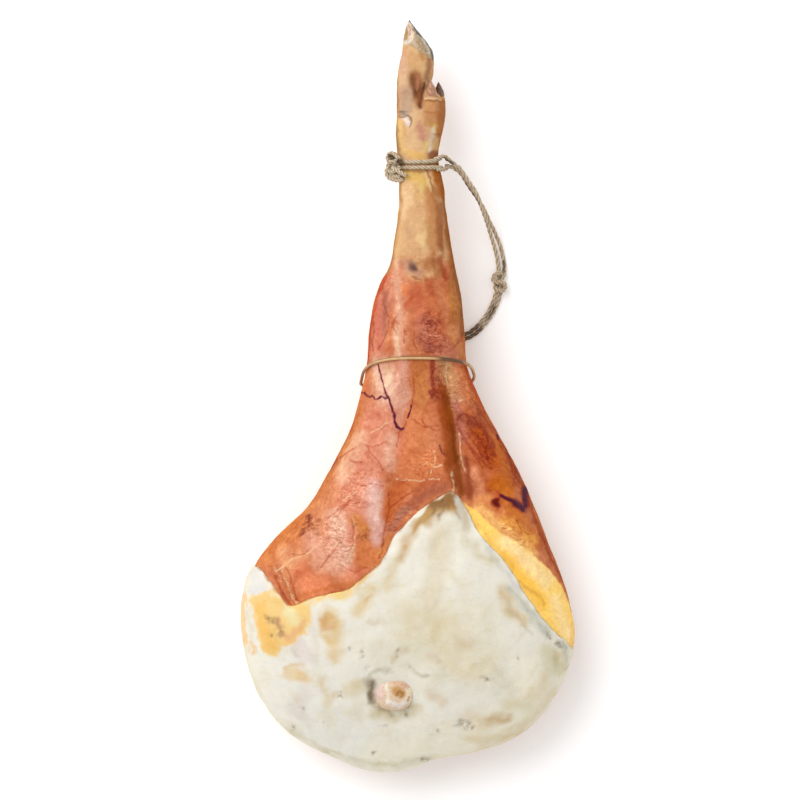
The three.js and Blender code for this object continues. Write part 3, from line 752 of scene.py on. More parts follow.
# %% Veins and fine lines on the skin
# Each: half width, points along it
DARK_VEINS = [
    (0.35, [[-30, 30], [-28.5, 24], [-26, 14], [-24, 6], [-22, -1]]),
    (0.6, [[-22, -1], [-19.5, -5], [-17, -12], [-15, -17]]),
    (0.9, [[-15, -17], [-14, -22], [-14, -27], [-11.5, -31.5], [-8, -33.6], [-5.5, -34]]),
    (0.45, [[-47, 2.5], [-44, 2.6], [-41, -0.6], [-38.5, -2], [-36, -0.8], [-33.5, -4.4], [-31, -3.8],
            [-27, -1.4], [-24, -3.6], [-20.5, -3]]),
    (0.4, [[2.5, -10], [1.5, -15], [-1, -23]]),
    (1.2, [[92, -100], [100, -104], [106, -107.5]]),
    (2.5, [[106, -107.5], [111, -111], [114.5, -114.5]]),
    (2.3, [[114.5, -114], [116.5, -110], [116.2, -102], [116.4, -94]]),
    (0.5, [[88.5, -40], [90, -44]]),
]
RED_LINES = [
    (0.4, [[-17, 68], [-13, 74], [-9, 71]]),
    (0.5, [[-11, 60], [-15, 67], [-16, 72], [-12, 78]]),
    (0.6, [[66, -28], [74, -36], [80, -46], [84, -58]]),
    (0.5, [[62, -34], [70, -42], [76, -52], [80, -64]]),
    (0.6, [[58, -38], [66, -48], [72, -58], [77, -69]]),
    (0.6, [[70, -30], [79, -38], [85, -50], [88, -64]]),
    (0.5, [[54, -44], [62, -54], [68, -64], [74, -72]]),
    (0.5, [[72, -44], [70, -52], [76, -58], [78, -50]]),
    (0.35, [[14, 76], [18, 70], [24, 74], [29, 70], [26, 64]]),
    (0.35, [[6, 64], [5, 54], [8, 46]]),
    (0.35, [[12, 56], [20, 50], [28, 54], [36, 48]]),
    (0.35, [[16, 44], [24, 42], [34, 44]]),
    (0.5, [[4.5, 20], [5, 8], [4.5, -6], [2.5, -12]]),
    (0.4, [[-2, -26], [-5, -33], [-10, -38], [-11, -52]]),
    (0.5, [[-19, -98], [-19.5, -112], [-22, -128], [-25.5, -142], [-26.5, -158]]),
    (0.45, [[-18, -112], [-12, -108], [-6, -103], [4, -96]]),
    (0.4, [[-21, -134], [-14, -136], [-8, -130]]),
    (0.5, [[-52, -52], [-62, -57], [-70, -64], [-80, -76]]),
    (0.5, [[-44, -49], [-38, -52], [-28, -49], [-22, -46]]),
    (0.6, [[-57, -66], [-50, -67], [-46, -67]]),
    (0.4, [[-40, -52], [-36, -60], [-30, -66], [-26, -76]]),
    (0.4, [[-60, -84], [-48, -90], [-36, -88], [-24, -91]]),
    (0.4, [[-70, -118], [-60, -108], [-48, -107], [-40, -108]]),
    (0.3, [[-82, -124], [-68, -112], [-56, -104]]),
    (0.9, [[-133, -180], [-128, -192], [-122, -203], [-117, -208]]),
    (0.8, [[-121, -172], [-117, -184], [-113, -198], [-110, -205]]),
    (0.35, [[-56, -124], [-54, -134], [-55, -146]]),
    (0.35, [[-66, -170], [-52, -176], [-40, -170]]),
    (0.4, [[-118, -158], [-108, -160], [-100, -156]]),
    (0.4, [[-88, -172], [-78, -160], [-70, -150]]),
    (0.4, [[4, -25], [18, -32], [30, -30]]),
    (0.35, [[-2, 60], [-5, 66], [-4, 52]]),
    (0.35, [[14, -24], [16, -30], [26, -36], [32, -34]]),
    (0.4, [[80, -95], [86, -94], [92, -98]]),
    (0.3, [[106, -124], [112, -134], [120, -140]]),
    (0.35, [[-24, 90], [-19, 76], [-22, 62], [-30, 46]]),
    (0.3, [[-36, 78], [-34, 62], [-36, 44]]),
    (0.35, [[54, 60], [50, 52], [44, 46]]),
    (0.35, [[36, 30], [26, 26], [20, 14]]),
    (0.9, [[48.5, -30], [48.8, -25], [51.5, -21], [55.5, -18.6], [61, -20.6], [66.5, -23.6]]),
    (0.7, [[66, -23], [69, -30], [74, -33], [80, -42], [84, -52], [86, -62]]),
    (0.6, [[62, -52], [70, -62], [78, -70], [83, -73.5]]),
    (0.5, [[50, -34], [54, -40], [58, -47], [64, -56]]),
    (0.6, [[100, -58], [102, -66], [103, -76], [106, -86], [110, -92]]),
]
PALE_LINES = [
    (0.4, [[0, -85], [8, -85.6], [16, -85]]),
    (0.35, [[-12, -84], [-2, -84]]),
    (0.35, [[20, -84.6], [32, -83.8]]),
    (0.3, [[26, -56], [26, -68], [22, -78]]),
    (0.3, [[14, -70], [20, -66], [26, -72], [34, -70]]),
    (0.9, [[-117, -198], [-114, -204], [-110.5, -207]]),
    (0.6, [[-126, -174], [-122, -186], [-118, -196]]),
    (0.35, [[-134, -172], [-130, -178], [-127, -186]]),
    (0.4, [[-132, -176], [-116, -164], [-100, -158], [-90, -150]]),
    (0.3, [[-76, -116], [-64, -104], [-52, -96]]),
    (0.35, [[50, -38], [52, -60], [56, -76]]),
    (1.0, [[42.5, -76], [44.5, -86], [44.5, -97]]),
    (0.3, [[38, 32], [37, 20], [40, 6]]),
    (0.3, [[-20, -26], [-30, -34], [-38, -38]]),
    (0.35, [[-56, -120], [-52, -134], [-54, -152], [-62, -166]]),
]
# Tangles of fine vessels and patches of fine wrinkles: half width, soft edge, points along each
VESSEL_AREAS = [
    (9, 14, [[62, -26], [72, -40], [80, -54], [84, -66]]),
    (4, 7, [[98, -54], [104, -70], [110, -88]]),
    (6, 10, [[-98, -124], [-104, -136]]),
    (8, 16, [[22, 74], [18, 50]]),
    (5, 8, [[-50, -130], [-44, -140]]),
    (5, 8, [[26, 22], [28, 2]]),
]
WRINKLE_AREAS = [
    (9, 8, [[36, 26], [44, 8], [50, -12]]),
    (6, 6, [[58, 16], [64, 0], [68, -12]]),
    (10, 8, [[20, 60], [34, 48]]),
    (9, 9, [[24, -60], [14, -74]]),
    (8, 8, [[98, -130], [112, -146]]),
    (14, 12, [[-76, -130], [-66, -156]]),
    (10, 10, [[-60, -104], [-44, -84]]),
    (8, 8, [[-14, -128], [2, -112]]),
]


# %% Strength of a line
LINE_SPREAD = 2.5
LINE_BLUR = 0.8


def line_strength(places, lines):
    """1 on a line, fading to 0 over its spread and blur, so that it blends well between points."""
    total = np.zeros(len(places))
    for half, path in lines:
        total = np.maximum(total, 1 - distance(places, path) / (LINE_SPREAD * half + LINE_BLUR))
    return np.clip(total, 0, 1)


# %% Fine relief of the skin
BED_DEPTH = 3
BED_LOW_Z = 46
BED_START = 0.5
BED_SLOPE = 3
BED_FADE = 2
SWELL_HEIGHT = 0.5
LUMP_HEIGHT = 0.18
LINE_RISES = ((DARK_VEINS, 0.35), (RED_LINES, -0.3), (PALE_LINES, 0.4))
FLAT_ENOUGH = 1e-9
FAT_SOFT = 2.2


def normals_of(points):
    """Outward directions on a grid that runs down the leg, from the cross product of its two ways."""
    ring = np.concatenate([points[:, -1:], points, points[:, :1]], 1)
    across = np.gradient(ring, axis=1)[:, 1:-1]
    down = np.gradient(points, axis=0)
    normal = np.cross(across, down)
    return normal / np.maximum(FLAT_ENOUGH, np.linalg.norm(normal, axis=-1, keepdims=True))


def skin_detail(points):
    """Height off the smooth surface: slow swells, small lumps, raised veins and sunk tears."""
    height = SWELL_HEIGHT * lumps(points, size=22, seed=3)
    height = height + LUMP_HEIGHT * lumps(points, size=6, seed=7, layers=3)
    for lines, rise in LINE_RISES:
        height += rise * line_strength(points, lines) ** 2
    return height


def skin_colours(points, normals):
    """Colours, the share of yellow fat and the share of the underside. The sides get painted
    shade, and the underside has its plain rind over all else."""
    places = wander(points, seed=40, reach=2.2, size=9)
    colours = paint_side_shade(washed(places, SKIN_BASE, SKIN_WASHES), normals, SIDE_SHADE_TINT)
    near = wander(points, seed=60, reach=0.9, size=5)
    share = step(0.5 + inside_distance(near, YELLOW_FAT) / FAT_SOFT)
    colours = mix(colours, share, washed(places, FAT_BASE, FAT_WASHES))
    under = underside(points, normals)
    return mix(colours, under, seen(RIND_UNDER)), share * (1 - under), under


# %% A closed skin
RIND_Y = 132
RIND_SOFT = 16
DRY_TURN = 0.8
# Each: how the strength is found, its lines or areas, then seed, reach and size of their wandering
SKIN_MARKS = {
    "dark_vein": (line_strength, DARK_VEINS, 80, 0.7, 4),
    "red_line": (line_strength, RED_LINES, 80, 1.1, 5),
    "pale_line": (line_strength, PALE_LINES, 80, 1.0, 4),
    "vessels": (area_strength, VESSEL_AREAS, 84, 5, 9),
    "wrinkles": (area_strength, WRINKLE_AREAS, 86, 3, 9),
}


def dryness(normals):
    """0 on the upper side, where the oil stays, and 1 where the skin faces sideways or down."""
    return 1 - step(normals[:, 2] / DRY_TURN)


def skin_piece(name, points, nodes):
    """A closed skin through the grid's rows, with its colours and lines held at its points."""
    normal = normals_of(points).reshape(-1, 3)
    flat = points.reshape(-1, 3)
    inside = inside_distance(flat, LARD_EDGE)
    bed = BED_DEPTH * step((inside - BED_START) / BED_SLOPE)
    bed = bed * step((flat[:, 2] - BED_LOW_Z) / BED_FADE)
    flat = flat + (skin_detail(flat) - bed)[:, None] * normal
    colours, fat, under = skin_colours(flat, normal)
    values = {
        "tone": colours,
        "dry": dryness(normal),
        "fat": fat,
        "rind": np.maximum(under, step((flat[:, 1] - RIND_Y) / RIND_SOFT)),
    }
    for key, (strength, lines, *shift) in SKIN_MARKS.items():
        values[key] = (1 - under) * strength(wander(flat, *shift), lines)
    return make_piece(name, flat, tube_faces(*points.shape[:2]), "skin", nodes, values)


# %% Where the cord runs round the shank
BAND = {"top": 37, "side": 16.5, "slant": 4.5, "under": 4, "off": 0.7, "off_right": 2}
BAND_DIAMETER = 3.2


def band_y(a):
    """How far up the leg the cord runs at an angle round it: level + (top - level) sqrt(sin a) over
    the upper side, and less than level below it."""
    level, rise = BAND["side"] + BAND["slant"] * np.cos(a), np.sin(a)
    above = level + (BAND["top"] - level) * np.sqrt(np.maximum(0, rise))
    return np.where(rise > 0, above, level + (level - BAND["under"]) * rise)


# %% Shank and thigh
TYPICAL_SECTION = (160, 70, 0.83)
SECTION_SAMPLES = 8001
BAND_GAP = 1
SHANK_TOP_Y = 233
SHANK_ROWS = 215
THIGH_FINE_END_Y = -272
THIGH_ROWS = (250, 40)
# Columns of points over the top and over the underside
SHANK_COLUMNS = (165, 55)
THIGH_COLUMNS = (275, 55)
LOWEST_Z = 0.2


def around(top, under):
    """Angles round a limb, counted over its top and its underside, whose places are evenly far apart
    on a typical section: x = w |cos a|^p and z = h |sin a|^p."""
    a = np.linspace(0, np.pi, SECTION_SAMPLES)
    width, height, power = TYPICAL_SECTION
    x = width * np.sign(np.cos(a)) * np.abs(np.cos(a)) ** power
    z = height * np.abs(np.sin(a)) ** power
    along = np.concatenate([[0], np.cumsum(np.hypot(np.diff(x), np.diff(z)))])
    upper = np.interp(np.arange(top) / top * along[-1], along, a)
    lower = np.interp(np.arange(under) / under * along[-1], along, a)
    return np.concatenate([upper, np.pi + lower])


def rows_between(start, end, count):
    return start + (end - start) * np.linspace(0, 1, count)[:, None]


shank_angles = around(*SHANK_COLUMNS)
shank_end = station_at(LEG, band_y(shank_angles) - BAND_GAP)
shank_start = np.full_like(shank_end, station_at(LEG, SHANK_TOP_Y))
shank_t = rows_between(shank_start, shank_end, SHANK_ROWS)
shank = skin_piece("shank_skin", limb(LEG, shank_t, shank_angles[None, :], relief=True), [])

thigh_angles = around(*THIGH_COLUMNS)
thigh_start = station_at(LEG, band_y(thigh_angles) + BAND_GAP)
thigh_middle = np.full_like(thigh_start, station_at(LEG, THIGH_FINE_END_Y))
thigh_end = np.full_like(thigh_start, last_station(LEG))
thigh_t = np.concatenate([
    rows_between(thigh_start, thigh_middle, THIGH_ROWS[0]),
    rows_between(thigh_middle, thigh_end, THIGH_ROWS[1])[1:],
])
thigh_points = limb(LEG, thigh_t, thigh_angles[None, :], relief=True)
thigh_points[..., 2] = np.maximum(thigh_points[..., 2], LOWEST_Z)
thigh = skin_piece("thigh_skin", thigh_points, ["ham"])
print("skin points:", len(shank.data.vertices) + len(thigh.data.vertices))

# %% [markdown]
# ## Trotter
# Two main toes and two dewclaws grow out of the pastern. Each is a limb of its own; a voxel remesh
# melts them into one skin, as flesh joins, and a few passes of smoothing round the seams off. The
# toes shrink slightly where the hooves cover them.

# %% Toes under their hooves
HOOF_LINE = (-5.5, 353, 33.7)
DEWCLAW_LINE = (0, 298, 0)
UNDER_HOOF = 0.8
UNDER_HOOF_FADE = 1.5
NO_SHIFT = (0, 0, 0)


def beyond(points, line):
    """Distance past a line across the limb, which is turned by some degrees in the plane."""
    x, y, turn = line
    turn = np.radians(turn)
    return (points[..., 0] - x) * np.sin(turn) + (points[..., 1] - y) * np.cos(turn)


def limb_points(stations, grid, line=None, shift=NO_SHIFT):
    """A whole limb, slightly thinner beyond the line where its horn starts."""
    rows, columns = grid
    t = np.linspace(0, last_station(stations), rows)[:, None]
    a = whole_turn(columns)[None, ::-1]
    points = limb(stations, t, a)
    if line:
        under = UNDER_HOOF * step(beyond(points, line) / UNDER_HOOF_FADE)
        points = limb(stations, t, a, inset=under)
    return points + np.asarray(shift, float)


# %% One skin for the trotter
VOXEL = 0.75
SMOOTHING = 0.5
SMOOTHING_PASSES = 6
UP_SLOPE = 1.4
# Each: height, width, points along it
HOLLOWS = [
    (-1.6, 4.5, [[5, 322], [6, 310], [9, 297]]),
    (-1.5, 2.2, [[15, 314], [12.5, 300], [12, 288]]),
    (1.0, 5, [[-3, 330], [-4, 312]]),
    (-0.8, 5, [[-5, 300], [-3, 288]]),
    (-0.7, 2.5, [[-9, 279], [-4, 279.5], [1, 277], [2, 271]]),
    (0.9, 3, [[-5, 274], [-2, 272]]),
    (0.8, 3, [[18, 262], [24, 248]]),
    (-0.6, 2, [[14, 262], [19, 246]]),
    (1.1, 7, [[24, 290], [22, 275]]),
    (-0.6, 1.6, [[16, 296], [34, 296]]),
]


def melt(grids):
    """One closed skin round several closed grids."""
    points, faces, count = [], [], 0
    for grid in grids:
        rows, columns = grid.shape[:2]
        faces += [[count + k for k in face] for face in tube_faces(rows, columns)]
        points.append(grid.reshape(-1, 3))
        count += rows * columns
    mesh = bpy.data.meshes.new("limbs")
    mesh.from_pydata(np.concatenate(points) * MM, [], faces)
    limbs = bpy.data.objects.new("limbs", mesh)
    scene.collection.objects.link(limbs)
    remesh = limbs.modifiers.new("melt", "REMESH")
    remesh.mode = "VOXEL"
    remesh.voxel_size = VOXEL * MM
    smoothing = limbs.modifiers.new("smooth", "SMOOTH")
    smoothing.factor = SMOOTHING
    smoothing.iterations = SMOOTHING_PASSES
    evaluated = limbs.evaluated_get(bpy.context.evaluated_depsgraph_get())
    melted = bpy.data.meshes.new_from_object(evaluated)
    bpy.data.objects.remove(limbs)
    bpy.data.meshes.remove(mesh)
    return melted


def read_points(mesh):
    """A mesh's points in mm, and its outward directions at them."""
    points = np.empty(len(mesh.vertices) * 3, np.float32)
    mesh.vertices.foreach_get("co", points)
    normals = np.empty(len(mesh.vertices) * 3, np.float32)
    mesh.vertex_normals.foreach_get("vector", normals)
    return points.reshape(-1, 3).astype(float) / MM, normals.reshape(-1, 3).astype(float)


# %% Washes on the trotter
TROTTER_BASE = (224, 180, 136)
TROTTER_WASHES = [
    ((232, 190, 142), 0.8, 10, 10, [[4, 272], [4, 250], [2, 238]]),
    ((238, 200, 130), 0.85, 3.4, 5, [[-9, 272], [-8, 256], [-6, 244]]),
    ((236, 190, 112), 0.8, 4, 6, [[2, 241], [14, 238.5]]),
    ((226, 184, 132), 0.85, 9, 10, [[4, 346], [8, 336], [12, 326]]),
    ((224, 178, 124), 0.8, 4, 6, [[4, 334], [8, 326]]),
    ((196, 142, 84), 0.7, 2.6, 4, [[12, 344], [14, 336]]),
    ((222, 174, 150), 0.75, 3, 8, [[-6, 340], [-6, 330], [-7, 322]]),
    ((232, 196, 156), 0.7, 3.4, 5, [[-6, 316], [-5, 308]]),
    # Painted shade in the hollow by the dewclaw: the next two dark strokes
    ((146, 88, 54), 0.95, 5.5, 9, [[7, 318], [9, 306], [12, 292]]),
    ((122, 74, 54), 0.85, 1.8, 6, [[3, 317], [4.5, 308], [7, 300]]),
    ((196, 132, 100), 0.75, 1.6, 4, [[9, 318], [9, 306]]),
    # Painted shade in the crease beside the dewclaw
    ((98, 52, 36), 0.95, 1.4, 3.4, [[15.5, 312], [14, 303], [13, 295], [12, 287]]),
    ((156, 98, 68), 0.8, 2.4, 6, [[21, 338], [20, 326], [18, 316]]),
    ((192, 162, 140), 0.8, 5, 12, [[-3, 302], [-3, 292], [-2, 284]]),
    ((160, 150, 144), 0.7, 2, 4, [[-7, 283], [-4, 280]]),
    ((242, 224, 212), 0.95, 2.4, 2.5, [[-4, 276], [-1.5, 275], [-1, 271]]),
    # Painted shade along a small crease on the pastern
    ((122, 100, 86), 0.8, 0.7, 1.6, [
        [-9, 277.6], [-5, 277.4], [-1, 279], [2, 277], [2.6, 273], [1, 268.6],
    ]),
    ((206, 146, 122), 0.85, 4.5, 6, [[11, 268], [14, 258]]),
    ((206, 150, 100), 0.9, 8, 7, [[22, 292], [24, 276]]),
    ((178, 112, 60), 0.9, 5, 6, [[34, 292], [34, 276], [32, 262]]),
    ((186, 118, 70), 0.7, 0.9, 2.4, [[16, 283], [24, 282], [34, 283]]),
    ((234, 204, 168), 0.8, 0.8, 1.8, [[17, 296.5], [26, 296], [33, 295]]),
    ((152, 92, 54), 0.8, 0.8, 2, [[17, 294], [26, 293.6], [33, 293]]),
    ((206, 158, 96), 0.7, 2, 4, [[17, 271], [28, 269]]),
    ((160, 98, 64), 0.9, 5, 5, [[24, 240], [31, 238.6]]),
    ((186, 122, 68), 0.85, 3, 5, [[35, 266], [32, 250]]),
    ((230, 202, 118), 0.8, 1.5, 4, [[16, 244], [18, 252]]),
    ((222, 198, 120), 0.8, 1.2, 3, [[26, 262], [26, 270]]),
    ((220, 202, 180), 0.85, 1.4, 3.4, [[20, 244], [22.6, 254], [24.5, 266]]),
    ((214, 182, 110), 0.8, 1.2, 2.4, [[26, 246], [28, 254]]),
    ((232, 222, 204), 0.8, 1.4, 2.4, [[-5, 352], [-1, 351]]),
    ((158, 118, 86), 0.85, 1.6, 4, [[-12, 316], [-12, 296], [-13, 275], [-11, 250], [-10.5, 238]]),
]

# %% The melted trotter
TROTTER_SWELL = 0.3
TROTTER_LUMPS = 0.12
# Rows and columns of points on each limb
PASTERN_GRID = (60, 90)
TOE_GRID = (70, 70)
DEWCLAW_GRID = (50, 60)

trotter_mesh = melt([
    limb_points(PASTERN, PASTERN_GRID),
    limb_points(NEAR_TOE, TOE_GRID, HOOF_LINE),
    limb_points(NEAR_TOE, TOE_GRID, HOOF_LINE, FAR_TOE_SHIFT),
    limb_points(NEAR_DEWCLAW, DEWCLAW_GRID, DEWCLAW_LINE),
    limb_points(FAR_DEWCLAW, DEWCLAW_GRID, DEWCLAW_LINE),
])
points, normals = read_points(trotter_mesh)
facing_up = step(normals[:, 2] * UP_SLOPE)
lumpy = TROTTER_SWELL * lumps(points, size=12, seed=21)
lumpy = lumpy + TROTTER_LUMPS * lumps(points, size=4, seed=25)
points = points + (facing_up * strokes(points, HOLLOWS) + lumpy)[:, None] * normals
trotter_mesh.vertices.foreach_set("co", (points * MM).astype(np.float32).ravel())
near = wander(points, seed=90, reach=0.9, size=5)
# The trotter's sides get painted shade
colours = paint_side_shade(washed(near, TROTTER_BASE, TROTTER_WASHES), normals, SIDE_SHADE_TINT)
colours = mix(colours, underside(points, normals), seen(RIND_UNDER))
nothing = np.zeros(len(points))
values = {"tone": colours, "dry": dryness(normals), "rind": np.ones(len(points))}
values.update(dict.fromkeys(["fat", *SKIN_MARKS], nothing))
finish_piece("trotter_skin", trotter_mesh, "skin", [], values)
print("trotter points:", len(points))

# %% [markdown]
# ## Hooves and dewclaws
# Horn covers the tips. Each hoof is the tip of its own toe, cut off along a slanting line: every
# column of its grid starts where that column crosses the line, and ends at the tip.

# %% Washes on the horn
HOOF_WASHES = [
    ((184, 138, 74), 0.95, 1.8, 3, [[-2.5, 356], [-1.6, 362], [-0.8, 367]]),
    ((250, 228, 206), 0.9, 3, 4, [[1, 371], [3, 364], [4, 357]]),
    ((150, 104, 78), 0.75, 0.6, 1.6, [[0.6, 370], [2, 365], [1, 360]]),
    ((158, 108, 70), 0.75, 0.7, 1.8, [[4, 366], [6.5, 361], [5.6, 355]]),
    ((232, 224, 208), 0.9, 1.8, 2.4, [[-5, 351.6], [-1, 353], [2, 354]]),
    ((168, 112, 56), 0.9, 1.3, 2.4, [[9, 352], [12.5, 349.4], [15, 346]]),
    ((186, 168, 132), 0.9, 4, 5, [[10, 358], [16, 350], [20, 341]]),
    ((156, 122, 88), 0.7, 0.7, 1.8, [[11, 355], [14, 352], [17, 345], [19, 338]]),
    ((228, 220, 204), 0.8, 0.9, 2, [[9, 361], [14, 355.6], [18, 349], [20.6, 342]]),
    # Painted shade: a dark line down the near hoof's right edge
    ((70, 60, 50), 0.95, 1.3, 2, [
        [1, 374.6], [5, 369.4], [9, 362], [15, 357.4], [19.6, 350.6], [23.6, 342], [25, 333],
    ]),
]
DEWCLAW_WASHES = [
    ((216, 168, 138), 0.7, 2, 4, [[21, 314], [22, 304]]),
    ((160, 102, 72), 0.7, 0.6, 1.6, [[20, 308], [23, 304]]),
    ((166, 108, 76), 0.7, 0.6, 1.6, [[18.6, 303], [21, 300], [25, 299.6]]),
    ((180, 124, 88), 0.8, 1.4, 3, [[26, 298], [26.4, 304], [24.4, 309]]),
]
# Each: stations, line where it starts, base colour, washes, shift
HORNS = {
    "hoof_near": (NEAR_TOE, HOOF_LINE, (206, 178, 144), HOOF_WASHES, NO_SHIFT),
    # The far hoof lies lower, under the near one: its darker base is painted shade
    "hoof_far": (NEAR_TOE, HOOF_LINE, (112, 86, 64), [], FAR_TOE_SHIFT),
    "dewclaw_near": (NEAR_DEWCLAW, DEWCLAW_LINE, (194, 140, 108), DEWCLAW_WASHES, NO_SHIFT),
    # The far dewclaw lies lower, under the near one: its darker base is painted shade
    "dewclaw_far": (FAR_DEWCLAW, DEWCLAW_LINE, (118, 80, 58), [], NO_SHIFT),
}

# %% Horn
HORN_PROUD = 0.25
HORN_ROWS = 46
HORN_COLUMNS = 72
ROWS_POWER = 0.8
LINE_SAMPLES = 900
RAGGED = 1.6
TUCK = 1.6
TUCK_ROWS = 3
RIDGE_HEIGHT = 0.12
RIDGE_TURNS = 34
HORN_LUMPS = 0.35


def horn_piece(node, stations, line, base, washes, shift):
    """A limb's tip from a line on. Rows run from just inside the line, where the horn turns in."""
    a = whole_turn(HORN_COLUMNS)[None, ::-1]
    last = last_station(stations)
    t = np.linspace(0, last, LINE_SAMPLES)[:, None]
    tip = limb(stations, t, a)
    past = beyond(tip, line) + RAGGED * lumps(tip, size=4, seed=125, layers=3) > 0
    start = t[np.argmax(past, axis=0), 0]
    share = np.linspace(0, 1, HORN_ROWS)[:, None] ** ROWS_POWER
    along = start + (last - start) * share
    tucked = UNDER_HOOF * TUCK * (1 - step(share * HORN_ROWS / TUCK_ROWS))
    ridges = RIDGE_HEIGHT * np.sin(share * RIDGE_TURNS) * (1 - share)
    points = limb(stations, along, a, inset=tucked - HORN_PROUD - ridges)
    outward = normals_of(points).reshape(-1, 3)
    flat = points.reshape(-1, 3)
    lumpy = HORN_LUMPS * lumps(flat, size=3.4, seed=128) * (1 - share**4).repeat(HORN_COLUMNS)
    flat = flat + lumpy[:, None] * outward
    values = {"tone": washed(wander(flat, seed=120, reach=0.8, size=3), base, washes)}
    flat = flat + np.asarray(shift, float)
    return make_piece(f"{node}_horn", flat, tube_faces(HORN_ROWS, HORN_COLUMNS), "hoof", [node], values)


horns = [horn_piece(node, *shape) for node, shape in HORNS.items()]
print("horn pieces:", [piece.name for piece in horns])

# %% [markdown]
# ## Lard
# The cut face is smeared with lard by hand, so its coat has a thin soft edge, swells, pits and
# drag marks. Its grid starts on the edge's line: in every column the rows begin where the column
# crosses it. The coat rises out of the skin over a couple of millimetres, and it dips under the rind
# again below the rim.

